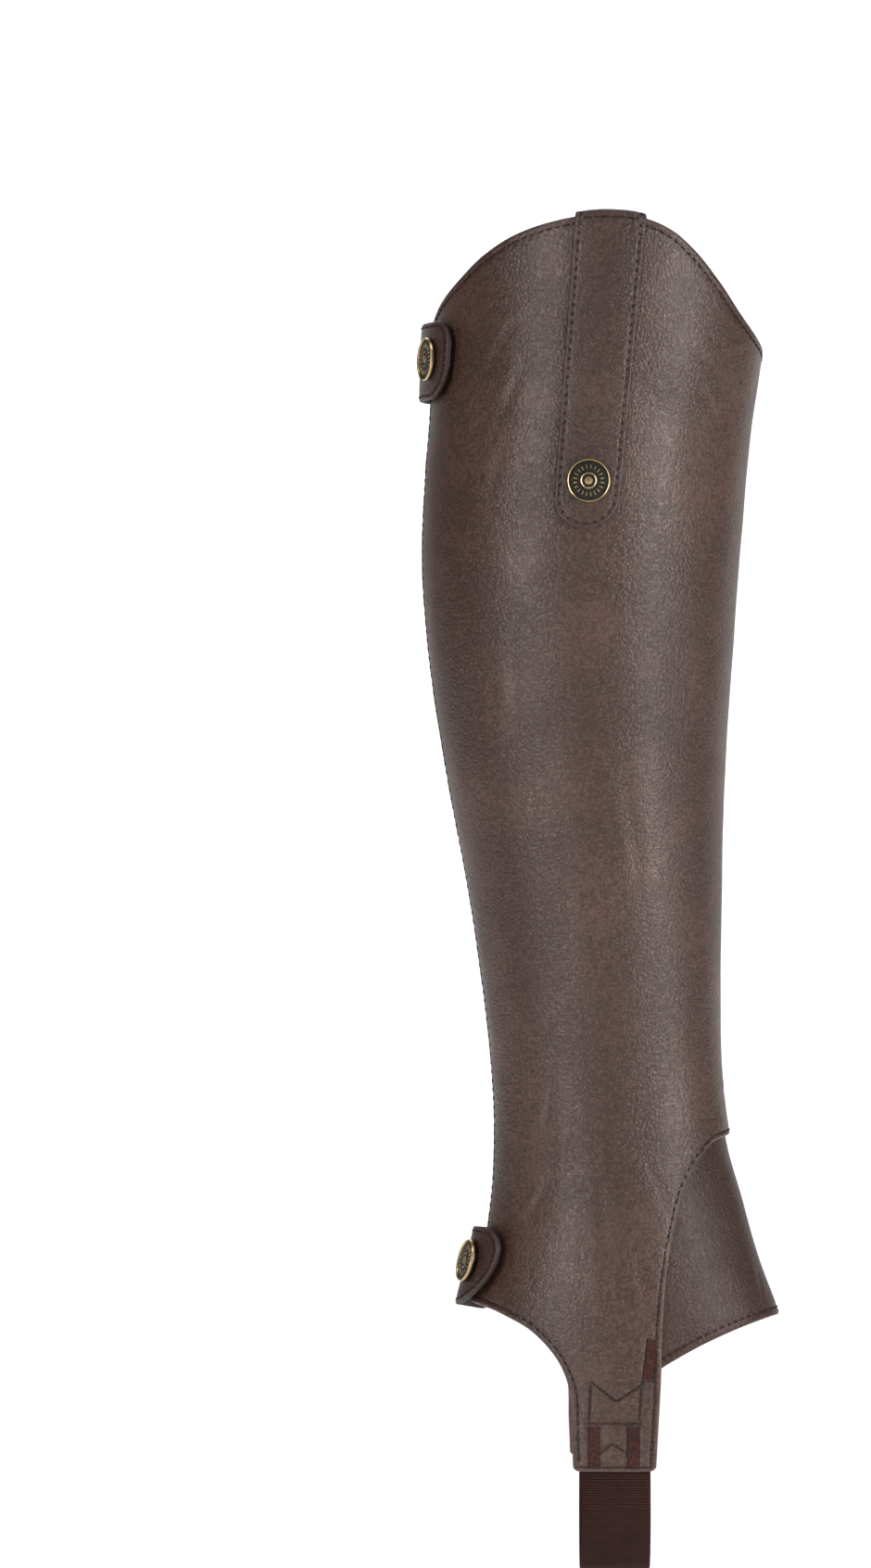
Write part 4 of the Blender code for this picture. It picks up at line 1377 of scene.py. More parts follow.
@dataclass
class SuedeCalf:
    """The suede panel on the inner side of the calf."""

    step: float = 1.7
    hem_stitch: float = 2.4
    hem_fold: float = 7.0
    hem_lift: float = 0.28
    back_stitch: float = 2.2
    row_clear: float = 1.6

    def edges(self) -> tuple[Line, Line, Line]:
        """Draws the edges of the suede.

        Returns:
            The top edge, the back edge and the edge under the leather.
        """
        under = moved_aside(CUT.lines()["seam"], CUT.allowance)
        corners = [*CUT.shin_edge[-2:], CUT.seam_top, *CUT.inner_edge]
        top = curve([*flats(corners), CUT.back_top(Side.INNER)], EDGE_STEP)
        low = CUT.seam_end_height - CUT.allowance
        back = FORM.back_line(CUT.back_gap, low, CUT.mouth_back, Side.INNER, EDGE_STEP)[::-1]
        raised = [(under[0][0], under[0][1] + 12.0), *under, (under[-1][0] + 9.0, under[-1][1])]
        return top, back, raised[::-1]

    def relief(self, points: Values) -> Values:
        """Lifts the folded hem along the top.

        Args:
            points: The flat points.

        Returns:
            The lift of each.
        """
        angles, heights = zip(CUT.shin_edge[-1], *CUT.inner_edge, (176.0, CUT.mouth_back))
        top = smooth_value(angles, heights, angles_of(points))
        return self.hem_lift * rise(points[:, 1], top - self.hem_fold - 0.8, top - self.hem_fold + 0.6)

    def dress(self) -> None:
        """Builds the suede, its tan hem thread and the dark thread beside the zip."""
        top, back, under = self.edges()
        outline = joined_outline([top, back, under])
        visible = flat(*CUT.seam_top)[0] + 1.5
        hem_line = [p for p in moved_aside(top, self.hem_stitch) if p[0] > visible]
        hem = Seam(trimmed(hem_line, outline, self.row_clear), 3.4, 2.0)
        sizes = {"length": 2.1, "radius": 0.3, "trough": 0.26}
        beside = row_beside(back, self.back_stitch, outline, self.row_clear, **sizes)
        skin = Cloth("suede_skin", outline, Layer.UNDER, Layer.SUEDE_THICK, self.step, (hem, beside),
                     relief=self.relief)
        settle(skin.build(), "suede", "brushed_suede", "suede_calf")
        sew("suede_hem_sewing", [hem], Layer.UNDER + self.hem_lift - 0.1, "tan_thread")
        sew("suede_back_sewing", [beside], Layer.UNDER - 0.08, "dark_thread")


@dataclass
class Vamp:
    """The piece over the instep, under both instep edges of the leather."""

    toe_height: float = -282.6
    toe_forward: float = 71.3
    slope: float = 0.24
    bend: float = 0.0042
    hem_forward: tuple[float, ...] = (15.0, 32.0, 45.0, 58.0, 67.0)
    stitch_inset: float = 2.6
    row_clear: float = 1.6
    step: float = 1.5

    def hem_places(self) -> Line:
        """Places the hem from the heel end to the toe, forward and up."""
        backs = [self.toe_forward - forward for forward in self.hem_forward]
        return [(self.toe_forward - b, self.toe_height - b * (self.slope + self.bend * b)) for b in backs]

    def dress(self) -> None:
        """Builds the vamp and its hem stitches."""
        under = moved_aside(CUT.lines()["instep"], CUT.allowance)
        outer, inner = (FORM.all_on_side(self.hem_places(), side) for side in Side)
        bottom = curve([*outer, flat(0, self.toe_height), *inner[::-1]], EDGE_STEP)
        outline = joined_outline([bottom, under])
        inset = self.stitch_inset
        if Outline(outline).depth(np.asarray(moved_aside(bottom, inset)[20:21]))[0] < 0:
            inset = -inset
        hem = row_beside(bottom, inset, outline, self.row_clear)
        skin = Cloth("vamp_skin", outline, Layer.UNDER, Layer.VAMP_THICK, self.step, (hem,))
        settle(skin.build(), "vamp_leather", "vamp_hide", "vamp")
        sew("vamp_sewing", [hem], Layer.UNDER - 0.08, "dark_thread")


# Strip, tabs and elastic


def squared(value: Values, squareness: float) -> Values:
    """Makes a sine or cosine squarer."""
    return np.sign(value) * np.abs(value) ** squareness


@dataclass
class OuterStrip:
    """The strip down the outer side, which folds over the top edge and ends round."""

    low: float = -1.1
    peak: float = 110.8
    top_forward: float = 9.4
    end_forward: float = -0.1
    top_width: float = 25.1
    end_width: float = 23.2
    thick: float = 1.2
    offset: float = 1.6
    flap: float = 6.5
    flap_clear: float = 0.4
    edge_clear: float = 0.3
    fold_rise: float = 2.0
    fold_length: float = 6.0
    squareness: float = 0.67
    settles: float = 30.0
    step: float = 1.5
    stitch_inset: float = 1.8
    top_row: float = 0.9
    # The zigzag on the lining: its strokes, how far below the peak it starts, its step down, and its reach
    zigzags: int = 18
    zigzag_top: float = 14.0
    zigzag_step: float = 1.95
    zigzag_reach: float = 1.5

    @property
    def top_run(self) -> float:
        """Gives the run at which the fold starts."""
        return self.peak - self.low - self.edge_clear

    @property
    def end_run(self) -> float:
        """Gives the run at the end of the flap."""
        return self.top_run + self.fold_length + self.flap

    def half_width(self, run: float, inset: float = 0.0) -> float:
        """Measures half the width of the strip.

        Args:
            run: The distance from the round end.
            inset: How far inside the strip's own edge to measure.

        Returns:
            Half the width.
        """
        round_end = self.end_width / 2
        share = np.clip((run - round_end) / (self.top_run - round_end), 0, 1)
        full = round_end + share * (self.top_width / 2 - round_end) - inset
        cut = np.clip((round_end - run) / max(full, 0.1), 0, 1)
        return float(full * math.sqrt(1 - cut**2))

    def side_line(self, inset: float, high: float) -> Line:
        """Draws the edge from the right of the top, round the end, to the left of the top.

        Args:
            inset: The distance inside the strip's own edge.
            high: The run at which the line starts and ends.

        Returns:
            The flat points of the strip: across, and run from its round end.
        """
        radius = self.end_width / 2 - inset
        turns = np.radians(np.arange(0, 180.1, 6.0))
        bend = [(radius * math.cos(t), self.end_width / 2 - radius * math.sin(t)) for t in turns]
        runs = np.arange(high, self.end_width / 2 + 0.8, -EDGE_STEP)
        right = [(self.half_width(run, inset), run) for run in runs]
        return right + bend + [(-across, run) for across, run in reversed(right)]

    def middle(self, height: Values) -> Values:
        """Gives how far forward the middle of the strip is at a height."""
        share = (height - self.low) / (self.peak - self.low)
        return self.end_forward + (self.top_forward - self.end_forward) * share

    def place(self, points: Values, offset: Values) -> Values:
        """Lays flat points of the strip on the leather and over its top edge.

        Args:
            points: The distances across and from the round end.
            offset: The offset of each.

        Returns:
            The places in metres.
        """
        across, run = points[:, 0], points[:, 1]
        height = self.low + np.minimum(run, self.top_run)
        forward = self.middle(height) + across
        forwards, heights = zip(*CUT.arch)
        edge = smooth_value(forwards, heights, forward) - self.edge_clear
        angle = FORM.side_angle(forward, np.minimum(height, edge), Side.OUTER)
        settle = np.maximum(0.0, 1 - (self.top_run - run) / self.settles)
        below = height + (edge - self.low - self.top_run) * settle

        inner = Layer.UNDER - Layer.FACING_THICK - self.flap_clear - self.thick
        half_fold = (self.offset - inner) / 2
        depth = self.offset - offset
        turn = np.clip((run - self.top_run) / self.fold_length, 0, 1) * math.pi
        out = self.offset - half_fold + (half_fold - depth) * squared(np.cos(turn), self.squareness)
        lift = np.maximum(np.sin(turn), 0.0)
        over = edge + (self.fold_rise - depth) * squared(lift, self.squareness)
        over = over - np.maximum(0.0, run - self.top_run - self.fold_length)
        folded = run > self.top_run
        return FORM.place(angle, np.where(folded, over, below), np.where(folded, out, offset))

    def dress(self) -> None:
        """Builds the strip, its stitches, and the zigzag that shows on the lining under it."""
        outline = self.side_line(0.0, self.end_run)[::-1]
        sides = Seam(self.side_line(self.stitch_inset, self.end_run - 1.6), length=1.4, trough=0.22)
        row = self.top_run - self.top_row
        half = self.half_width(row) - self.stitch_inset - 1.6
        top = Seam(curve([(-half, row), (half, row)], 0.8), length=1.9, radius=0.3)
        skin = Cloth("strip_skin", outline, self.offset, self.thick, self.step, (sides, top),
                     edge_shape=EdgeShape(roll=0.4, reach=0.45, puff=0.0), place=self.place)
        settle(skin.build(), "leather", "strip_hide", "outer_strip")
        sew("strip_sewing", (sides, top), self.offset - 0.1, "dark_thread", self.place)
        inside = Layer.UNDER - Layer.LINING_THICK - 0.12
        sew("lining_sewing", self.zigzag(), inside, "red_thread")

    def zigzag(self) -> list[Seam]:
        """Lays out the zigzag on the lining.

        Returns:
            A row of stitches for each stroke.
        """
        points = []
        for k in range(self.zigzags + 1):
            height = self.peak - self.zigzag_top - k * self.zigzag_step
            reach = self.zigzag_reach if k % 2 else -self.zigzag_reach
            points.append(FORM.on_side(self.middle(height) + reach, height, Side.OUTER))
        return [Seam(curve(ends, 0.8), 4.4, 3.0) for ends in zip(points, points[1:])]


class Lift(NamedTuple):
    """The offset of a tab's outer face at an angle round the leg."""

    angle: float
    offset: float


@dataclass
class Tab:
    """A snap tab that closes over the zip, from the inner side to the outer side."""

    name: str
    lifts: tuple[Lift, ...]
    low: float
    high: float
    rounds: tuple[float, float, float, float]
    sewn_line: Optional[float] = None
    thick: float = 2.2
    step: float = 1.35
    stitch_inset: float = 1.6
    smoothing: float = 1.5
    pad: float = 0.25
    cap_rise: float = 0.1
    edge_step: float = 1.1
    row_ends: float = 3.4

    def lift(self, angle: Values) -> Values:
        """Reads the offset of the outer face, smoothed between neighbours.

        Args:
            angle: The angles round the leg.

        Returns:
            The offset at each.
        """
        angles, offsets = zip(*self.lifts)
        near = [np.interp(angle + shift, angles, offsets) for shift in (-self.smoothing, 0, self.smoothing)]
        return sum(near) / 3

    def face(self, angle: Values) -> Values:
        """Gives the offset that a cap on the tab stands on."""
        return self.lift(angle) + self.cap_rise

    def outline(self, inset: float = 0.0) -> Line:
        """Draws the outline of the tab, or a line some way inside it.

        Args:
            inset: How far inside.

        Returns:
            The closed line.
        """
        squeeze = WRAP_RADIUS / (FORM.section_at((self.low + self.high) / 2)[2] * (1 + FORM.shin_narrowing))
        left = flat(self.lifts[0].angle, 0)[0] + inset * squeeze
        right = flat(self.lifts[-1].angle, 0)[0] - inset * squeeze
        low, high = self.low + inset, self.high - inset
        corners = ((left, high, 180), (right, high, 90), (right, low, 0), (left, low, -90))
        outline: Line = []
        for (across, height, first), full in zip(corners, self.rounds):
            radius = max(full - inset, 0.0)
            inward = 1 if across == left else -1
            downward = -1 if height == high else 1
            for turn in np.radians(np.linspace(first, first - 90, 9 if radius else 1)):
                around = across + squeeze * radius * (inward + math.cos(turn))
                outline.append((around, height + radius * (downward + math.sin(turn))))
        closed: Line = []
        for start, end in zip(outline, outline[1:] + outline[:1]):
            closed += curve([start, end], self.edge_step)[:-1]
        return closed

    def relief(self, points: Values) -> Values:
        """Lifts the whole tab and pads its middle.

        Args:
            points: The flat points.

        Returns:
            The lift of each.
        """
        middle, half = (self.high + self.low) / 2, (self.high - self.low) / 2
        pad = self.pad * np.clip(1 - ((points[:, 1] - middle) / half) ** 2, 0, 1)
        return self.lift(angles_of(points)) + pad

    def dress(self) -> None:
        """Builds the tab and its stitches."""
        ring = self.outline(self.stitch_inset)
        seams = [Seam(ring + ring[:1], 3.1, 1.9, 0.3)]
        if self.sewn_line:
            heights = (self.low + self.row_ends, self.high - self.row_ends)
            ends = flats((self.sewn_line, height) for height in heights)
            seams.append(Seam(curve(ends, 0.8), 3.1, 2.0, 0.3))
        shape = EdgeShape(roll=0.6, reach=0.7, puff=0.03, puff_at=1.0)
        skin = Cloth(self.name + "_skin", self.outline(), 0.0, self.thick, self.step, tuple(seams),
                     (0.25, 0.6, 1.1, 2.3), shape, self.relief)
        settle(skin.build(), "leather", "tab_hide", self.name)
        sew(self.name + "_sewing", seams, lambda points: self.relief(points) - 0.1, "dark_thread")


UPPER_TAB = Tab(
    "upper_tab",
    (
        Lift(128.0, 0.8), Lift(138.0, 0.8), Lift(148.0, 0.8), Lift(158.0, 1.5), Lift(167.0, 2.8),
        Lift(174.0, 3.6), Lift(181.0, 4.0), Lift(188.0, 4.2), Lift(195.0, 4.3), Lift(204.0, 4.4),
        Lift(212.0, 4.5),
    ),
    low=46.0,
    high=74.0,
    rounds=(12.5, 8.5, 13.0, 12.5),
    sewn_line=146.0,
)
LOWER_TAB = Tab(
    "lower_tab",
    (
        Lift(164.0, -3.6), Lift(170.0, -3.6), Lift(175.2, -3.5), Lift(179.5, 1.0), Lift(184.0, 4.4),
        Lift(189.0, 5.6), Lift(195.0, 5.9), Lift(201.0, 5.9), Lift(208.0, 5.7), Lift(215.0, 5.4),
    ),
    low=-280.5,
    high=-252.0,
    rounds=(0.0, 8.0, 20.0, 0.0),
)


@dataclass
class ElasticStrap:
    """The ribbed elastic from one tongue under the foot to the other."""

    width: float = 24.5
    spread: float = 1.4
    middle: float = 11.8
    top: float = -309.0
    loop_start: float = -340.5
    rib_pitch: float = 0.84
    rib_depth: float = 0.17
    rows_a_rib: int = 4
    columns: int = 12

    def place(self, across: Values, along: Values, offset: Values) -> Values:
        """Lays points of the strap down one side, under the foot and up the other.

        Args:
            across: The distance from the strap's middle.
            along: The distance from the middle of the foot, below zero on the outer side.
            offset: The offset of each point.

        Returns:
            The places in metres.
        """
        run = self.half_length - np.abs(along)
        share = np.clip(run / self.half_length, 0, 1)
        wide = across * (1 + self.spread / self.width * share)
        height = self.top - np.minimum(run, self.straight)
        places = np.zeros((len(across), 3))
        for side in Side:
            mine = (along > 0) == (side is Side.INNER)
            angle = FORM.side_angle(self.middle + wide[mine], height[mine], side)
            places[mine] = FORM.place(angle, height[mine], offset[mine])
        turn = np.maximum(run - self.straight, 0) / self.radius
        looped = run > self.straight
        drop = (self.radius + offset - Layer.UNDER) * np.sin(turn) * MM
        places[:, 1] *= np.where(looped, np.cos(turn), 1.0)
        places[:, 2] = np.where(looped, self.loop_start * MM - drop, places[:, 2])
        return places

    @property
    def radius(self) -> float:
        """Measures the radius of the loop under the foot.

        Returns:
            The radius.
        """
        angle = FORM.side_angle(self.middle, self.loop_start, Side.OUTER)
        bare, out = FORM.bare(angle, self.loop_start), FORM.normal(angle, self.loop_start)
        return float(-(bare + out * Layer.UNDER)[1])

    @property
    def straight(self) -> float:
        """Gives the length of one straight stretch."""
        return self.top - self.loop_start

    @property
    def half_length(self) -> float:
        """Gives half the length of the strap."""
        return self.straight + math.pi * self.radius / 2

    def dress(self) -> None:
        """Builds the strap with every rib, thinner towards its side edges."""
        rows = round(2 * self.half_length / self.rib_pitch) * self.rows_a_rib
        along = np.linspace(-self.half_length, self.half_length, rows + 1)
        shares = np.sin(np.linspace(-1, 1, self.columns + 1) * math.pi / 2)
        grid_across, grid_along = np.meshgrid(shares * self.width / 2, along)
        across, runs = grid_across.ravel(), grid_along.ravel()
        rib = np.cos(2 * math.pi * runs / self.rib_pitch)
        edge = self.width / 2 - np.abs(across)
        lift = self.rib_depth * (0.5 * rib - 0.5) - 0.4 * np.clip(1 - edge / 0.8, 0, 1) ** 2
        outer = self.place(across, runs, Layer.UNDER + lift)
        back = self.place(across, runs, Layer.UNDER - Layer.ELASTIC_THICK - lift)
        wide = self.columns + 1
        triangles = []
        for k in range(rows):
            for c in range(self.columns):
                a = k * wide + c
                triangles += [(a, a + 1, a + wide), (a + 1, a + wide + 1, a + wide)]
        faces = np.array(triangles)
        corner = outer[faces[0]]
        if np.cross(corner[1] - corner[0], corner[2] - corner[0])[1] > 0:
            faces = faces[:, ::-1]
        obj = closed_wall("elastic_webbing", outer, back, faces)
        for name, values in (("across", across), ("along", runs), ("edge", edge), ("rib", rib)):
            store(obj.data, name, np.tile(values, 2))
        settle(obj, "elastic", "elastic_weave", "elastic_strap")


# Metal


BRASS = "aged_brass"
DARK = "dark_metal"


def seat_frame(angle: float, height: float, offset: Offset, gap: float, radius: float = 1.0) -> Matrix:
    """Finds the placement of a flat piece on a curved layer, a gap above its highest place.

    Args:
        angle: The angle round the leg.
        height: The height.
        offset: The offset of the layer, or how it follows from the angle.
        gap: The gap in millimetres.
        radius: The radius of the piece.

    Returns:
        The placement: Z points out and Y up the leg.
    """
    centre = FORM.place(angle, height, offset_at(offset, angle))
    around = np.radians(np.arange(0, 360, 30))
    angles = angle + np.degrees(radius / FORM.section_at(height)[2]) * np.cos(around)
    ring = FORM.place(angles, height + radius * np.sin(around), offset_at(offset, angles))
    out = Vector(np.linalg.svd(ring - ring.mean(axis=0))[2][2])
    if out.dot(Vector(FORM.normal(angle, height))) < 0:
        out = -out
    highest = max((Vector(p) - Vector(centre)).dot(out) for p in [centre, *ring])
    up = (Vector((0, 0, 1)) - out * out.z).normalized()
    rotation = Matrix((up.cross(out), up, out)).transposed().to_4x4()
    return Matrix.Translation(Vector(centre) + out * (highest + gap * MM)) @ rotation


class Solids:
    """Several closed shapes gathered into one mesh, each with its own finish."""

    def __init__(self, name: str, finishes: Sequence[str] = (BRASS,)) -> None:
        """Starts empty.

        Args:
            name: The name of the piece.
            finishes: The names of the finishes that its shapes may have.
        """
        self.name = name
        self.finishes = list(finishes)
        self.mesh = bmesh.new()

    def add(self, shape: bmesh.types.BMesh, placement: Matrix, finish: str = BRASS) -> None:
        """Adds a shape given in millimetres, and frees it.

        Args:
            shape: The shape.
            placement: Where it goes.
            finish: The name of its finish.
        """
        bmesh.ops.transform(shape, matrix=placement @ Matrix.Scale(MM, 4), verts=shape.verts)
        made = {vert: self.mesh.verts.new(vert.co) for vert in shape.verts}
        for face in shape.faces:
            copy = self.mesh.faces.new([made[vert] for vert in face.verts])
            copy.material_index = self.finishes.index(finish)
        shape.free()

    def build(self, sharp: float = 35.0) -> bpy.types.Object:
        """Builds the object and gives it its finishes.

        Args:
            sharp: The angle in degrees above which an edge stays sharp.

        Returns:
            The object, linked to the scene.
        """
        mesh = bpy.data.meshes.new(self.name)
        self.mesh.to_mesh(mesh)
        self.mesh.free()
        mesh.shade_smooth()
        mesh.set_sharp_from_angle(angle=math.radians(sharp))
        obj = bpy.data.objects.new(self.name, mesh)
        bpy.context.scene.collection.objects.link(obj)
        for finish in self.finishes:
            mesh.materials.append(MATERIALS[finish])
        return obj


def lathe(profile: Sequence[Point], steps: int) -> bmesh.types.BMesh:
    """Spins a profile of radius and height round Z.

    Args:
        profile: The profile, from the axis to the axis or else a loop that stays off it.
        steps: The number of steps round.

    Returns:
        The closed shape in millimetres.
    """
    shape = bmesh.new()
    turns = [2 * math.pi * k / steps for k in range(steps)]
    rings = []
    for radius, height in profile:
        spots = turns if radius else turns[:1]
        rings.append([shape.verts.new((radius * math.cos(t), radius * math.sin(t), height)) for t in spots])
    following = rings[1:] + rings[:1] if profile[0][0] else rings[1:]
    for low, high in zip(rings, following):
        for k in range(steps):
            n = (k + 1) % steps
            corners = [low[k % len(low)], high[k % len(high)], high[n % len(high)], low[n % len(low)]]
            shape.faces.new(list(dict.fromkeys(corners)))
    bmesh.ops.recalc_face_normals(shape, faces=shape.faces)
    return shape


class Box(NamedTuple):
    """A box with rounded edges: its lowest and highest corner, and the width and steps of the rounding."""

    low: Place
    high: Place
    bevel: float
    segments: int = 2

    def shape(self) -> bmesh.types.BMesh:
        """Makes the closed shape in millimetres.

        Returns:
            The shape.
        """
        made = bmesh.new()
        bmesh.ops.create_cube(made, size=1.0)
        low, high = Vector(self.low), Vector(self.high)
        for vert in made.verts:
            vert.co = vert.co * (high - low) + (high + low) / 2
        rounding = {"offset": self.bevel, "segments": self.segments, "affect": "EDGES", "profile": 0.5}
        bmesh.ops.bevel(made, geom=made.edges[:], **rounding)
        return made


@dataclass
class SnapCap:
    """A snap cap: a bright raised rim round a dark face with a ring of bars and a plain boss."""

    name: str
    radius: float = 7.8
    rim: float = 0.55
    height: float = 1.9
    steps: int = 64
    face_drop: float = 0.55
    seat_drop: float = 1.0
    bars: int = 20
    bar_radius: float = 4.9
    bar_size: Place = (1.5, 0.4, 0.34)
    boss_radius: float = 1.5
    boss_height: float = 0.26

    def build(self, seat: Matrix) -> bpy.types.Object:
        """Builds the cap.

        Args:
            seat: Its placement.

        Returns:
            The object.
        """
        cap = Solids(self.name, (BRASS, DARK))
        high, r = self.height, self.radius
        face, deep = high - self.face_drop, high - self.seat_drop
        inner = r - self.rim
        edge = inner - 0.4
        body = ((0.0, deep), (r - 0.1, deep), (r, deep - 0.1), (r - 0.05, 0.35), (r - 0.4, 0.0), (0.0, 0.0))
        bezel = (
            (r - 0.1, deep - 0.1), (edge, deep - 0.1), (edge + 0.05, deep), (edge + 0.2, high - 0.62),
            (inner, high - 0.12), (r - self.rim * 0.55, high), (r - 0.2, high - 0.22), (r, high - 0.6),
            (r, deep + 0.1),
        )
        disc = (
            (0.0, face + 0.32), (r * 0.45, face + 0.27), (edge - 0.05, face + 0.12), (edge, deep),
            (0.0, deep),
        )
        cap.add(lathe(body, self.steps), seat, DARK)
        cap.add(lathe(bezel, self.steps), seat)
        cap.add(lathe(disc, self.steps), seat, DARK)
        long, wide, tall = self.bar_size
        top = face + tall
        ends = (self.bar_radius - long / 2, self.bar_radius + long / 2)
        for k in range(self.bars):
            turn = Matrix.Rotation(2 * math.pi * (k + 0.5) / self.bars, 4, "Z")
            bar = Box((ends[0], -wide / 2, face), (ends[1], wide / 2, top), 0.1, 1)
            cap.add(bar.shape(), seat @ turn)
        ring = ((2.5, face), (2.5, top), (2.65, top + 0.07), (2.85, top), (2.85, face))
        cap.add(lathe(ring, 40), seat)
        r, high = self.boss_radius, self.boss_height
        boss = ((0.0, high), (r * 0.55, high * 0.85), (r * 0.9, high * 0.45), (r, -0.2), (0.0, -0.2))
        cap.add(lathe(boss, 24), seat @ Matrix.Translation((0, 0, (face + 0.3) * MM)))
        return cap.build()


@dataclass
class Snaps:
    """The three snap caps and the studs under the tabs."""

    upper: Point = (199.0, 60.5)
    lower: Point = (196.0, -265.0)
    strip: Point = (1.2, 16.0)
    gap: float = 0.25
    stud_gap: float = 0.3
    stud_radius: float = 4.2
    clear: float = 0.9

    def dress(self) -> None:
        """Builds the caps and the studs."""
        for name, (angle, height), tab in (
            ("upper_snap", self.upper, UPPER_TAB),
            ("lower_snap", self.lower, LOWER_TAB),
        ):
            self.cap(name + "_button", angle, height, tab.face, name + "_cap")
            tall = float(tab.lift(angle)) - tab.thick - self.clear
            seat = seat_frame(angle, height, 0.0, self.stud_gap, self.stud_radius)
            settle(self.stud(name + "_socket", tall, seat), "antique_brass", node=name + "_stud")
        forward, height = self.strip
        angle = float(FORM.side_angle(forward, height, Side.OUTER))
        self.cap("strip_button", angle, height, OuterStrip.offset, "strip_cap")

    def cap(self, name: str, angle: float, height: float, offset: Offset, node: str) -> None:
        """Builds a cap on what it fastens.

        Args:
            name: The name of the piece.
            angle: The angle round the leg.
            height: The height.
            offset: The offset of the layer under it.
            node: The node that it replaces.
        """
        cap = SnapCap(name)
        seat = seat_frame(angle, height, offset, self.gap, cap.radius)
        settle(cap.build(seat), "antique_brass", node=node)

    def stud(self, name: str, tall: float, seat: Matrix) -> bpy.types.Object:
        """Builds the stud that a tab closes on.

        Args:
            name: The name of the piece.
            tall: Its height.
            seat: Its placement.

        Returns:
            The object.
        """
        r = self.stud_radius
        profile = (
            (0.0, tall), (r * 0.6, tall), (r * 0.7, tall * 0.6), (r - 0.2, tall * 0.45), (r, tall * 0.3),
            (r, 0.1), (r - 0.2, 0.0), (0.0, 0.0),
        )
        stud = Solids(name)
        stud.add(lathe(profile, 32), seat)
        return stud.build()


@dataclass
class Zip:
    """The closed zip at the back: tapes, teeth and slider."""

    tape_from: float = 1.9
    tape_to: float = 13.0
    tape_step: float = 2.4
    tape_edge_step: float = 1.6
    low: float = -250.0
    high: float = 68.0
    chain_low: float = -246.0
    chain_high: float = 59.0
    pitch: float = 2.4
    depth: float = -3.0
    # How far a tooth reaches past the middle and to its own side
    tooth_reach: Point = (-0.85, 2.95)
    stop: Box = Box((-2.9, -1.2, -1.4), (2.9, 1.2, 1.4), 0.4)
    stop_gap: float = 1.6
    slider_middle: float = 59.5
    # The two plates and the wedge, the bail over them, then the frame of the pull
    slider_boxes: tuple[Box, ...] = (
        Box((-3.4, -6.0, -1.3), (3.4, 6.0, -0.3), 0.45),
        Box((-3.4, -6.0, -5.7), (3.4, 6.0, -4.7), 0.45),
        Box((-1.3, 1.4, -5.2), (1.3, 5.6, -0.8), 0.4),
        Box((-1.1, -3.0, -0.6), (1.1, -1.9, 1.0), 0.3),
        Box((-1.1, 1.9, -0.6), (1.1, 3.0, 1.0), 0.3),
        Box((-1.1, -3.0, 0.5), (1.1, 3.0, 1.0), 0.2),
        Box((-2.3, -11.5, 0.2), (-1.2, 1.4, 1.0), 0.25),
        Box((1.2, -11.5, 0.2), (2.3, 1.4, 1.0), 0.25),
        Box((-2.3, -11.5, 0.2), (2.3, -7.4, 1.0), 0.25),
    )

    def dress(self) -> None:
        """Builds the tapes, the chain and the slider."""
        for side in Side:
            name = "zip_tape_" + side.name.lower()
            settle(self.tape(name + "_weave", side), "zip_tape", "tape_weave", name)
        settle(self.teeth(), "antique_brass", node="zip_chain")
        settle(self.slider(), "antique_brass", node="zip_slider")

    def tape(self, name: str, side: Side) -> bpy.types.Object:
        """Builds the woven tape on one side.

        Args:
            name: The name of the piece.
            side: The side of the zip.

        Returns:
            The object.
        """
        near, far = (
            FORM.back_line(distance, self.low, self.high, side, self.tape_edge_step)
            for distance in (self.tape_from, self.tape_to)
        )
        return Cloth(name, near + far[::-1], Layer.TAPE, Layer.TAPE_THICK, self.tape_step,
                     edge_rows=(0.5, 1.2), edge_shape=EdgeShape(roll=0.12, puff=0.0)).build()

    def on_chain(self, height: float) -> Vector:
        """Places the middle of the chain at a height, in metres."""
        return Vector(FORM.place(180.0, height, self.depth))

    def frame_at(self, height: float) -> Matrix:
        """Finds the placement on the back line at a height.

        Args:
            height: The height.

        Returns:
            The placement: X towards the inner side, Y up, Z out.
        """
        out = Vector(FORM.normal(180.0, height))
        up = (self.on_chain(height + 1.0) - self.on_chain(height - 1.0)).normalized()
        across = up.cross(out).normalized()
        rotation = Matrix((across, up, across.cross(up))).transposed().to_4x4()
        return Matrix.Translation(self.on_chain(height)) @ rotation

    def teeth(self) -> bpy.types.Object:
        """Builds the meshed teeth and the stop at the low end.

        Returns:
            The object.
        """
        chain = Solids("zip_teeth")
        for k in range(int((self.chain_high - self.chain_low) / self.pitch * 2)):
            side = 1 if k % 2 else -1
            left, right = sorted(side * reach for reach in self.tooth_reach)
            tooth = Box((left, -0.52, -1.15), (right, 0.52, 1.15), 0.24, 1)
            chain.add(tooth.shape(), self.frame_at(self.chain_low + k * self.pitch / 2))
        chain.add(self.stop.shape(), self.frame_at(self.chain_low - self.stop_gap))
        return chain.build()

    def slider(self) -> bpy.types.Object:
        """Builds the slider with its bail and short pull.

        Returns:
            The object.
        """
        body = Solids("zip_slider_body")
        at = seat_frame(180.0, self.slider_middle, 0.0, 0.0)
        for box in self.slider_boxes:
            body.add(box.shape(), at)
        return body.build()


# Finishes


Socket = bpy.types.NodeSocket
Colour = tuple[float, float, float]


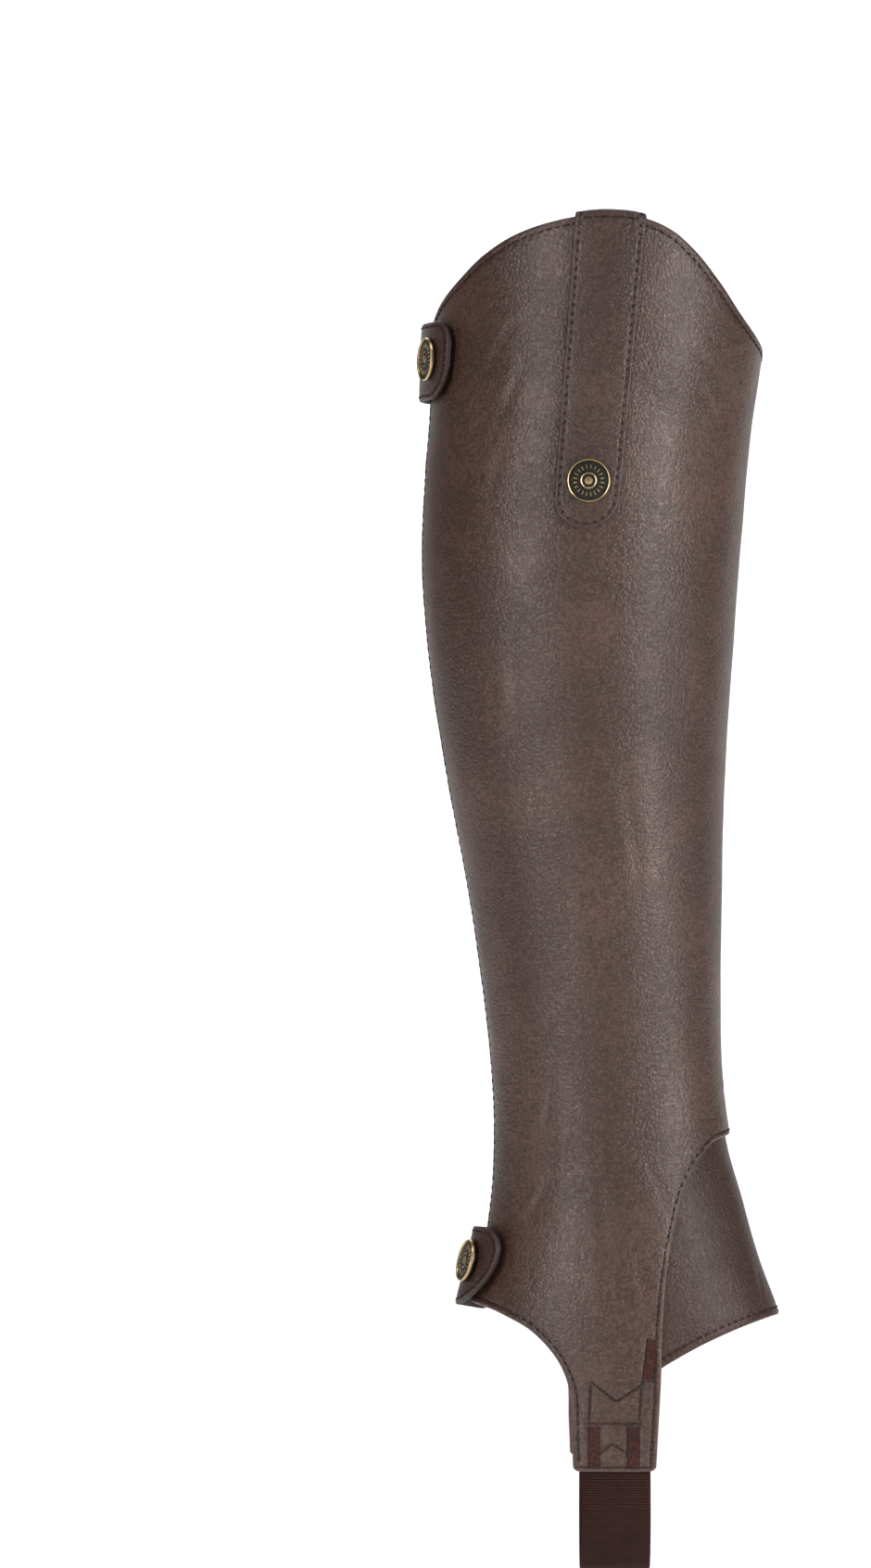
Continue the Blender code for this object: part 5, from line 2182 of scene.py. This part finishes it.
class Graph:
    """A short way to add and join shader nodes."""

    def __init__(self, tree: bpy.types.NodeTree) -> None:
        """Keeps the node tree."""
        self.tree = tree

    def feed(self, node: bpy.types.Node, inputs: dict) -> bpy.types.Node:
        """Gives a node's inputs values or links.

        Args:
            node: The node.
            inputs: Values or output sockets by input name or place.

        Returns:
            The node.
        """
        for name, value in inputs.items():
            if isinstance(value, Socket):
                self.tree.links.new(value, node.inputs[name])
            else:
                node.inputs[name].default_value = value
        return node

    def node(self, kind: str, inputs: Optional[dict] = None, **settings: object) -> bpy.types.Node:
        """Adds a node, sets it up and feeds it.

        Args:
            kind: The node's type, without its prefix.
            inputs: Values or output sockets by input name or place.
            settings: The node's own properties.

        Returns:
            The node.
        """
        made = self.tree.nodes.new("ShaderNode" + kind)
        for name, value in settings.items():
            setattr(made, name, value)
        return self.feed(made, inputs or {})

    def group(self, tree: bpy.types.NodeTree, inputs: dict) -> bpy.types.bpy_prop_collection:
        """Places a node group and gives its outputs."""
        return self.node("Group", inputs, node_tree=tree).outputs

    def math(self, operation: str, first: object, second: object = 0.0, clamp: bool = False) -> Socket:
        """Adds a maths node and gives its output."""
        return self.node("Math", {0: first, 1: second}, operation=operation, use_clamp=clamp).outputs[0]

    def times(self, first: object, second: object, clamp: bool = False) -> Socket:
        """Multiplies two values."""
        return self.math("MULTIPLY", first, second, clamp)

    def plus(self, first: object, second: object, clamp: bool = False) -> Socket:
        """Adds two values."""
        return self.math("ADD", first, second, clamp)

    def mix(self, share: object, first: object, second: object) -> Socket:
        """Mixes two colours and gives the result."""
        return self.node("Mix", {0: share, 6: first, 7: second}, data_type="RGBA").outputs[2]

    def stain(self, base: Socket, mask: Socket, strength: float, colour: Colour) -> Socket:
        """Mixes a colour in where a mask is high."""
        return self.mix(self.times(mask, strength), base, (*colour, 1))

    def attribute(self, name: str) -> Socket:
        """Reads a stored value of the mesh."""
        return self.node("Attribute", attribute_name=name).outputs["Fac"]

    def noise(
        self, place: Socket, scale: object, detail: float, roughness: float = 0.5, twist: float = 0.0
    ) -> Socket:
        """Adds soft noise and gives its value."""
        inputs = {"Vector": place, "Scale": scale, "Detail": detail}
        return self.node("TexNoise", inputs | {"Roughness": roughness, "Distortion": twist}).outputs[0]

    def ramp(self, value: object, low: float, high: float, start: float = 0.0, end: float = 1.0) -> Socket:
        """Maps a range smoothly onto another."""
        inputs = {"Value": value, "From Min": low, "From Max": high, "To Min": start, "To Max": end}
        return self.node("MapRange", inputs, interpolation_type="SMOOTHSTEP").outputs["Result"]


Fill = Callable[[Graph, dict[str, Socket]], dict[str, Socket]]


def shader_group(
    name: str, inputs: dict[str, Optional[float]], outputs: Sequence[str], fill: Fill
) -> bpy.types.NodeTree:
    """Makes a node group with named inputs and outputs.

    Args:
        name: The group's name.
        inputs: Its inputs with their usual values; None marks a vector.
        outputs: Its outputs.
        fill: Builds the nodes and gives the output sockets.

    Returns:
        The group.
    """
    tree = bpy.data.node_groups.new(name, "ShaderNodeTree")
    for label, value in inputs.items():
        kind = "NodeSocketVector" if value is None else "NodeSocketFloat"
        socket = tree.interface.new_socket(label, in_out="INPUT", socket_type=kind)
        if value is not None:
            socket.default_value = value
    for label in outputs:
        tree.interface.new_socket(label, in_out="OUTPUT", socket_type="NodeSocketFloat")
    start = tree.nodes.new("NodeGroupInput")
    end = tree.nodes.new("NodeGroupOutput")
    made = fill(Graph(tree), {socket.name: socket for socket in start.outputs})
    for label in outputs:
        tree.links.new(made[label], end.inputs[label])
    return tree


class Wrinkles(NamedTuple):
    """A layer of fine wrinkles: scale, stretch, depth off and on the soft patches, and share."""

    scale: float
    stretch: tuple[float, float, float]
    bare: float
    patched: float
    share: float


WRINKLES = (
    Wrinkles(480.0, (1.0, 1.0, 0.5), 0.5, 1.1, 1.0),
    Wrinkles(360.0, (0.7, 0.7, 1.2), 1.0, 0.3, 1.5),
)


def fill_grain(g: Graph, given: dict[str, Socket]) -> dict[str, Socket]:
    """Draws pebbled grain: small cells, fine wrinkles up the leg, and patches of broader level ones.

    Args:
        g: The group's graph.
        given: The group's inputs by name.

    Returns:
        The relief, and a tone that is low in the valleys and along the wrinkles, for painted shade.
    """
    place = given["Vector"]
    inputs = {"Vector": place, "Scale": given["Cells"], "Smoothness": 0.4}
    cells = g.node("TexVoronoi", inputs, feature="SMOOTH_F1").outputs["Distance"]
    patch = g.noise(place, 34.0, 2.0)
    pebbles = g.times(cells, g.ramp(patch, 0.3, 0.7, -1.3, -0.75))
    layers = []
    for layer in WRINKLES:
        drawn = g.node("Mapping", {"Vector": place, "Scale": layer.stretch}).outputs[0]
        folded = g.math("ABSOLUTE", g.math("SUBTRACT", g.noise(drawn, layer.scale, 4.0, 0.6, 1.2), 0.5))
        depth = g.times(g.ramp(patch, 0.35, 0.65, layer.bare, layer.patched), layer.share)
        layers.append(g.times(g.ramp(folded, 0.0, 0.08, -1.0, 0.0), depth))
    wrinkles = g.times(g.plus(*layers), given["Wrinkle"])
    # Tone carries painted shade: it dips in the valleys between pebbles and along the wrinkles
    return {
        "Height": g.plus(pebbles, g.times(wrinkles, 0.4)),
        "Tone": g.plus(g.plus(pebbles, wrinkles), 1.1),
    }


def fill_drift(g: Graph, given: dict[str, Socket]) -> dict[str, Socket]:
    """Draws slow changes of tone over the hide.

    Args:
        g: The group's graph.
        given: The group's inputs by name.

    Returns:
        The tone.
    """
    broad = g.noise(given["Vector"], 16.0, 3.0, 0.55)
    small = g.noise(given["Vector"], given["Fine"], 4.0)
    return {"Tone": g.ramp(g.plus(g.times(broad, 0.65), g.times(small, 0.35)), 0.32, 0.68)}


def fill_edge_marks_and_shade(g: Graph, given: dict[str, Socket]) -> dict[str, Socket]:
    """Draws the mask of the rim colour at the very edge, and the masks of painted shade along the stitch
    rows and in the needle holes.

    Args:
        g: The group's graph.
        given: The distances from edge, stitches and holes by name.

    Returns:
        The three masks.
    """
    # Cut masks the rim colour; Trench and Hole mask painted shade along the stitches and in the needle holes
    return {
        "Cut": g.ramp(given["Edge"], 0.05, 0.5, 1.0, 0.0),
        "Trench": g.ramp(given["Sewn"], 0.1, 0.85, 1.0, 0.0),
        "Hole": g.ramp(given["Holed"], 0.38, 0.88, 1.0, 0.0),
    }


def fill_weave(g: Graph, given: dict[str, Socket]) -> dict[str, Socket]:
    """Draws a plain weave: warp and weft over the stored distances across and along.

    Args:
        g: The group's graph.
        given: The two distances and the pitch by name.

    Returns:
        The relief, and the tone, which is painted shade: low where the relief is low.
    """
    rate = g.math("DIVIDE", 2 * math.pi, given["Pitch"])
    warp, weft = (g.math("SINE", g.times(given[name], rate)) for name in ("Across", "Along"))
    woven = g.times(warp, weft)
    return {"Height": woven, "Tone": g.ramp(woven, -1.0, 1.0)}


class Effects:
    """The node groups that several finishes share."""

    def __init__(self) -> None:
        """Builds the groups once."""
        grain = {"Vector": None, "Cells": 900.0, "Wrinkle": 0.5}
        wear = dict.fromkeys(("Edge", "Sewn", "Holed"), FAR)
        weave = {"Across": 0.0, "Along": 0.0, "Pitch": 0.8}
        self.grain = shader_group("leather_grain", grain, ("Height", "Tone"), fill_grain)
        self.drift = shader_group("tone_drift", {"Vector": None, "Fine": 90.0}, ("Tone",), fill_drift)
        # Masks for the rim colour, and for painted shade at the stitches and holes
        self.wear = shader_group("edge_wear", wear, ("Cut", "Trench", "Hole"), fill_edge_marks_and_shade)
        self.weave = shader_group("weave", weave, ("Height", "Tone"), fill_weave)


@dataclass(frozen=True)
class Finish:
    """What every finish has: a name, colours, roughness and relief."""

    name: str
    dark: Colour
    light: Colour
    roughness: float = 0.5
    relief: float = 0.0001
    metallic: float = 0.0
    sheen: float = 0.0
    sheen_tint: Colour = (1.0, 1.0, 1.0)
    specular: float = 0.5

    SHEEN_ROUGHNESS = 0.45

    def build(self, effects: Effects) -> None:
        """Makes the material: its plain sockets, and the layers that change over the surface.

        Args:
            effects: The shared node groups.
        """
        material = MATERIALS[self.name] = bpy.data.materials.new(self.name)
        material.use_nodes = True
        g = Graph(material.node_tree)
        colour, rough, height = self.layers(g, g.node("TexCoord").outputs["Object"], effects)
        raised = g.node("Bump", {"Height": height, "Distance": self.relief, "Strength": 1.0})
        plain = {
            "Metallic": self.metallic,
            "Sheen Weight": self.sheen,
            "Sheen Roughness": self.SHEEN_ROUGHNESS,
            "Sheen Tint": (*self.sheen_tint, 1),
            "Specular IOR Level": self.specular,
        }
        drawn = {"Base Color": colour, "Roughness": rough, "Normal": raised.outputs[0]}
        g.feed(g.tree.nodes["Principled BSDF"], plain | drawn)

    def layers(self, g: Graph, place: Socket, effects: Effects) -> tuple[Socket, Socket, Socket]:
        """Draws what changes over the surface; each kind of finish has its own way.

        Args:
            g: The material's graph.
            place: The object coordinates.
            effects: The shared node groups.

        Returns:
            The colour, the roughness and the relief.
        """
        raise NotImplementedError

    def tones(self, g: Graph, share: Socket) -> Socket:
        """Mixes the dark and the light colour."""
        return g.mix(share, (*self.dark, 1), (*self.light, 1))

    def rough(self, g: Graph, noise: Socket, strength: float) -> Socket:
        """Adds some noise to the roughness."""
        return g.plus(g.times(noise, strength), self.roughness, True)

    def wear(self, g: Graph, effects: Effects) -> bpy.types.bpy_prop_collection:
        """Places the group of rim and painted-shade masks on the stored distances."""
        return g.group(effects.wear, {name: g.attribute(name.lower()) for name in ("Edge", "Sewn", "Holed")})


@dataclass(frozen=True)
class LeatherFinish(Finish):
    """Grained leather. Its rim is the paler cut edge with a painted highlight, and on the strip and tabs a
    dark cut edge with painted shade; the grain's valleys, the stitch rows and the needle holes get painted
    shade.
    """

    cells: float = 900.0
    wrinkle: float = 0.4
    # Rim colour: pale cut edge with a painted highlight; the strip and tabs set a dark cut edge with painted
    # shade along it
    edge_cut_highlight_and_shade: Colour = (0.21, 0.145, 0.118)
    # Painted shade in the needle holes and along the stitch rows
    hole_shade_colour: Colour = (0.012, 0.005, 0.004)
    # Painted shade in the grain's valleys and wrinkle creases
    valley_shade: Colour = (0.030, 0.014, 0.010)

    def layers(self, g: Graph, place: Socket, effects: Effects) -> tuple[Socket, Socket, Socket]:
        """Draws the grain, the drift of tone, the painted shade in the grain's valleys, along the stitches
        and in the holes, and the rim colour, which is painted highlight on pale rims and painted shade on
        dark ones.

        Args:
            g: The material's graph.
            place: The object coordinates.
            effects: The shared node groups.

        Returns:
            The colour, the roughness and the relief.
        """
        grain = g.group(effects.grain, {"Vector": place, "Cells": self.cells, "Wrinkle": self.wrinkle})
        drift = g.group(effects.drift, {"Vector": place})["Tone"]
        wear = self.wear(g, effects)
        # Painted shade: the dark colour goes where the grain's tone is low, in its valleys and wrinkles
        base = g.mix(g.ramp(grain["Tone"], 0.1, 0.8, 0.7, 0.0), self.tones(g, drift), (*self.valley_shade, 1))
        # Painted shade along the stitch rows and in the needle holes
        base = g.stain(base, wear["Trench"], 0.14, self.hole_shade_colour)
        base = g.stain(base, wear["Hole"], 0.95, self.hole_shade_colour)
        # Rim colour: painted highlight on the pale rims, painted shade on the dark rims of the strip and
        # tabs
        base = g.stain(base, wear["Cut"], 0.75, self.edge_cut_highlight_and_shade)
        rough = g.plus(g.times(drift, -0.08), self.roughness)
        return base, g.plus(rough, g.times(wear["Cut"], 0.2), True), grain["Height"]


@dataclass(frozen=True)
class SuedeFinish(Finish):
    """Brushed suede: mottled nap, with painted shade between the tufts and in the needle holes, and painted
    highlights on the tips.
    """

    # Painted shade in the needle holes
    hole_shade_colour: Colour = (0.012, 0.004, 0.003)
    # Painted shade where the tufts are low
    tuft_hollow_shade: Colour = (0.014, 0.005, 0.003)
    # Painted highlight on the fibre tips
    tip_highlight: Colour = (0.22, 0.115, 0.072)

    def layers(self, g: Graph, place: Socket, effects: Effects) -> tuple[Socket, Socket, Socket]:
        """Draws the nap's tufts and tips, with painted shade between the tufts and in the needle holes, and
        painted highlights on the tips.

        Args:
            g: The material's graph.
            place: The object coordinates.
            effects: The shared node groups.

        Returns:
            The colour, the roughness and the relief.
        """
        tufts = g.noise(place, 750.0, 6.0, 0.75)
        tips = g.noise(place, 1500.0, 2.0, 0.6)
        base = self.tones(g, g.group(effects.drift, {"Vector": place, "Fine": 70.0})["Tone"])
        # Painted shade: dark where the tufts are low, as in the relief
        base = g.mix(g.ramp(tufts, 0.38, 0.56, 0.8, 0.0), base, (*self.tuft_hollow_shade, 1))
        # Painted highlight: light where the tips stand up in the relief
        base = g.mix(g.ramp(tips, 0.52, 0.68, 0.0, 0.85), base, (*self.tip_highlight, 1))
        # Painted shade in the needle holes
        base = g.stain(base, self.wear(g, effects)["Hole"], 0.8, self.hole_shade_colour)
        return base, self.rough(g, tufts, 0.1), g.plus(tufts, g.times(tips, 0.5))


@dataclass(frozen=True)
class WovenFinish(Finish):
    """Woven or knitted cloth with a fine regular pitch, with painted shade in the gaps of the weave and the
    troughs of the ribs.
    """

    pitch: float = 0.8
    ribs: bool = False

    def layers(self, g: Graph, place: Socket, effects: Effects) -> tuple[Socket, Socket, Socket]:
        """Draws the weave, its fuzz and its ribs; the colour darkens where their relief is low, as painted
        shade.

        Args:
            g: The material's graph.
            place: The object coordinates.
            effects: The shared node groups.

        Returns:
            The colour, the roughness and the relief.
        """
        drift = g.group(effects.drift, {"Vector": place, "Fine": 200.0})["Tone"]
        inputs = {"Across": g.attribute("across"), "Along": g.attribute("along"), "Pitch": self.pitch}
        weave = g.group(effects.weave, inputs)
        fuzz = g.noise(place, 2600.0, 3.0)
        # Painted shade: the tone follows the relief of the weave and the fuzz, darker where it is low
        tone = g.plus(g.times(weave["Tone"], 0.5), g.times(fuzz, 0.5))
        tone = g.times(tone, g.ramp(drift, 0.0, 1.0, 0.7, 1.1), True)
        if self.ribs:
            # Painted shade in the troughs between the ribs
            tone = g.times(tone, g.ramp(g.attribute("rib"), -0.6, 1.0, 0.08, 1.3), True)
        return self.tones(g, tone), self.rough(g, fuzz, 0.1), g.plus(weave["Height"], g.times(fuzz, 1.5))


@dataclass(frozen=True)
class ThreadFinish(Finish):
    """Waxed sewing thread."""

    def layers(self, g: Graph, place: Socket, effects: Effects) -> tuple[Socket, Socket, Socket]:
        """Draws the plies of the thread, with painted shade where their relief is low.

        Args:
            g: The material's graph.
            place: The object coordinates.
            effects: The shared node groups.

        Returns:
            The colour, the roughness and the relief.
        """
        drift = g.group(effects.drift, {"Vector": place, "Fine": 500.0})["Tone"]
        plies = g.noise(place, 1500.0, 3.0)
        # Painted shade: the colour darkens where the plies' relief is low
        shade = g.times(g.ramp(plies, 0.35, 0.6), g.ramp(drift, 0.1, 0.8, 0.2, 1.0))
        return self.tones(g, shade), self.rough(g, plies, 0.2), plies


@dataclass(frozen=True)
class MetalFinish(Finish):
    """Aged brass or blackened metal with fine scratches."""

    def layers(self, g: Graph, place: Socket, effects: Effects) -> tuple[Socket, Socket, Socket]:
        """Draws the tarnish and the scratches.

        Args:
            g: The material's graph.
            place: The object coordinates.
            effects: The shared node groups.

        Returns:
            The colour, the roughness and the relief.
        """
        scratch = g.noise(place, 2200.0, 5.0, 0.7)
        base = self.tones(g, g.group(effects.drift, {"Vector": place, "Fine": 900.0})["Tone"])
        return base, self.rough(g, scratch, 0.22), scratch


FINISHES = (
    LeatherFinish("wrap_hide", (0.085, 0.043, 0.032), (0.118, 0.061, 0.047), 0.375, 0.00015, specular=0.5),
    LeatherFinish("vamp_hide", (0.056, 0.028, 0.022), (0.082, 0.043, 0.035), 0.42, 0.00015, specular=0.36),
    # The strip and tabs have a dark rim: their cut edge, with painted shade along it
    LeatherFinish("strip_hide", (0.060, 0.031, 0.024), (0.090, 0.050, 0.039), 0.39, 0.00015,
                  edge_cut_highlight_and_shade=(0.026, 0.012, 0.010)),
    LeatherFinish("tab_hide", (0.056, 0.028, 0.021), (0.086, 0.046, 0.036), 0.39, 0.00014,
                  edge_cut_highlight_and_shade=(0.022, 0.010, 0.008)),
    SuedeFinish("brushed_suede", (0.046, 0.017, 0.010), (0.098, 0.038, 0.022), 0.9, 0.0007, sheen=0.35,
                sheen_tint=(0.8, 0.5, 0.4), specular=0.15),
    WovenFinish("lining_weave", (0.010, 0.011, 0.012), (0.036, 0.040, 0.042), 0.85, 0.0001, specular=0.2,
                pitch=1.2),
    WovenFinish("elastic_weave", (0.006, 0.002, 0.002), (0.096, 0.034, 0.026), 0.8, 0.00006, specular=0.2,
                pitch=0.62, ribs=True),
    WovenFinish("tape_weave", (0.014, 0.008, 0.006), (0.060, 0.036, 0.028), 0.85, 0.00008, specular=0.2,
                pitch=0.9),
    ThreadFinish("dark_thread", (0.016, 0.005, 0.004), (0.070, 0.024, 0.019), 0.6, 0.00006, specular=0.3),
    ThreadFinish("red_thread", (0.020, 0.005, 0.004), (0.098, 0.027, 0.021), 0.55, 0.00006, specular=0.4),
    ThreadFinish("tan_thread", (0.22, 0.11, 0.07), (0.52, 0.34, 0.24), 0.6, 0.00006, specular=0.4),
    MetalFinish("aged_brass", (0.44, 0.30, 0.14), (0.74, 0.55, 0.31), 0.22, 0.00002, 1.0),
    MetalFinish("dark_metal", (0.012, 0.012, 0.010), (0.034, 0.032, 0.027), 0.30, 0.00003, 0.6),
)


# Room and flat cuts


class Lamp(NamedTuple):
    """A rectangular soft lamp: its name, place, size in metres and power."""

    name: str
    place: Place
    size: Point
    power: float


@dataclass
class Studio:
    """The camera at the photo's place, the soft lamps, and the pale floor and backdrop."""

    camera_at: Place = (-0.0529, -3.0, -0.0918)
    lens: float = 190.5
    room_light: float = 0.10
    floor: float = -0.385
    floor_end: float = 5.0
    half_width: float = 4.5
    backdrop_top: float = 5.0
    glow: float = 0.62
    aim: Place = (0.0, 0.0, -0.12)
    backdrop_aim: Place = (0.0, 6.0, 0.4)
    backdrop_lamps_from: float = 3.0
    lamps: tuple[Lamp, ...] = (
        Lamp("left_softbox", (-0.98, -1.58, 0.1), (0.55, 1.7), 20.0),
        Lamp("right_softbox", (1.5, -1.05, 0.1), (0.6, 1.7), 27.0),
        Lamp("top_softbox", (0.1, -0.8, 1.8), (1.0, 0.8), 9.0),
        Lamp("rear_softbox", (1.3, 1.5, 0.3), (0.6, 1.7), 2.5),
        Lamp("high_rear_softbox", (-0.6, 1.9, 1.6), (1.2, 0.6), 5.0),
        Lamp("backdrop_lamp", (0.0, 3.4, 3.4), (1.8, 0.8), 60.0),
    )

    def build(self) -> None:
        """Builds camera, lamps, floor and backdrop."""
        scene = bpy.context.scene
        data = bpy.data.cameras.new("camera")
        data.lens = self.lens
        data.clip_end = 50
        camera = bpy.data.objects.new("camera", data)
        camera.location = self.camera_at
        camera.rotation_euler = (math.pi / 2, 0, 0)
        scene.collection.objects.link(camera)
        scene.camera = camera
        scene.view_settings.view_transform = "Standard"
        scene.view_settings.look = "None"
        for lamp in self.lamps:
            self.hang(lamp)
        scene.world = bpy.data.worlds.new("room")
        scene.world.use_nodes = True
        graph = Graph(scene.world.node_tree)
        graph.feed(graph.tree.nodes["Background"], {"Color": (1, 1, 1, 1), "Strength": self.room_light})
        self.sweep()

    def hang(self, lamp: Lamp) -> None:
        """Hangs a lamp that faces the chap, or the backdrop if it stands behind.

        Args:
            lamp: The lamp.
        """
        data = bpy.data.lights.new(lamp.name, "AREA")
        data.shape = "RECTANGLE"
        data.size, data.size_y = lamp.size
        data.energy = lamp.power
        made = bpy.data.objects.new(lamp.name, data)
        made.location = lamp.place
        target = self.backdrop_aim if lamp.place[1] > self.backdrop_lamps_from else self.aim
        heading = Vector(target) - Vector(lamp.place)
        made.rotation_euler = heading.to_track_quat("-Z", "Y").to_euler()
        bpy.context.scene.collection.objects.link(made)

    def sweep(self) -> None:
        """Builds the floor, which curves up into the backdrop."""
        end, low = self.floor_end, self.floor
        profile = [(-end, low), (end, low)]
        profile += [(end + math.sin(t), low + 1 - math.cos(t)) for t in np.radians(range(6, 91, 6))]
        profile.append((end + 1, self.backdrop_top))
        places = [(x, y, z) for y, z in profile for x in (-self.half_width, self.half_width)]
        faces = [(2 * k, 2 * k + 1, 2 * k + 3, 2 * k + 2) for k in range(len(profile) - 1)]
        ground = piece("floor", places, faces)
        ground.data.materials.append(self.pale_floor())

    def pale_floor(self) -> bpy.types.Material:
        """Makes the pale material, which glows a little so that the ground stays nearly white.

        Returns:
            The material.
        """
        material = bpy.data.materials.new("pale_floor")
        material.use_nodes = True
        g = Graph(material.node_tree)
        cloud = g.node("TexNoise", {"Scale": 1.2, "Detail": 2.0}).outputs[0]
        shade = g.mix(cloud, (0.90, 0.90, 0.90, 1), (0.94, 0.94, 0.94, 1))
        place = g.node("SeparateXYZ", {0: g.node("TexCoord").outputs["Object"]}).outputs
        beside = g.ramp(g.math("ABSOLUTE", place[0]), 0.6, 1.2, 1.0, 0.0)
        lit = g.times(beside, g.ramp(place[1], -0.3, 0.08))
        look = {
            "Base Color": shade,
            "Emission Color": g.mix(lit, (0.25, 0.25, 0.25, 1), shade),
            "Emission Strength": self.glow,
            "Roughness": 0.9,
        }
        g.feed(g.tree.nodes["Principled BSDF"], look)
        return material


class Sheet(NamedTuple):
    """The flat cut of a cloth piece in metres and square metres, how it is held, and on what."""

    piece: str
    width: float
    length: float
    area: float
    held: str
    rests_on: tuple[str, ...] = ("wrap_skin",)


SHEETS = (
    Sheet("wrap_skin", 0.260, 0.449, 0.0706, "stretched", ("suede_skin", "vamp_skin")),
    Sheet("lining_cloth", 0.245, 0.409, 0.0560, "stretched"),
    Sheet("facing_skin", 0.240, 0.0100, 0.00177, "folded"),
    Sheet("suede_skin", 0.150, 0.341, 0.0355, "stretched"),
    Sheet("vamp_skin", 0.138, 0.105, 0.0085, "stretched"),
    Sheet("strip_skin", 0.0263, 0.1241, 0.0031, "folded"),
    Sheet("upper_tab_skin", 0.0890, 0.0285, 0.00248, "folded", ("suede_skin",)),
    Sheet("lower_tab_skin", 0.0440, 0.0305, 0.0012, "folded"),
    Sheet("elastic_webbing", 0.0252, 0.173, 0.0043, "stretched"),
    Sheet("zip_tape_outer_weave", 0.0108, 0.320, 0.0034, "stretched"),
    Sheet("zip_tape_inner_weave", 0.0108, 0.320, 0.0034, "stretched"),
)


def main() -> None:
    """Builds the dressed half chap in order."""
    logging.basicConfig(level=logging.INFO, format="%(name)s %(message)s")
    Studio().build()
    effects = Effects()
    for finish in FINISHES:
        finish.build(effects)
    parts = (
        LeatherWrap(), Lining(), TopFacing(), SuedeCalf(), Vamp(), OuterStrip(), UPPER_TAB, LOWER_TAB,
        ElasticStrap(), Zip(), Snaps(),
    )
    for part in parts:
        part.dress()
    for sheet in SHEETS:
        list(sheet.rests_on)


if __name__ == "__main__":
    main()
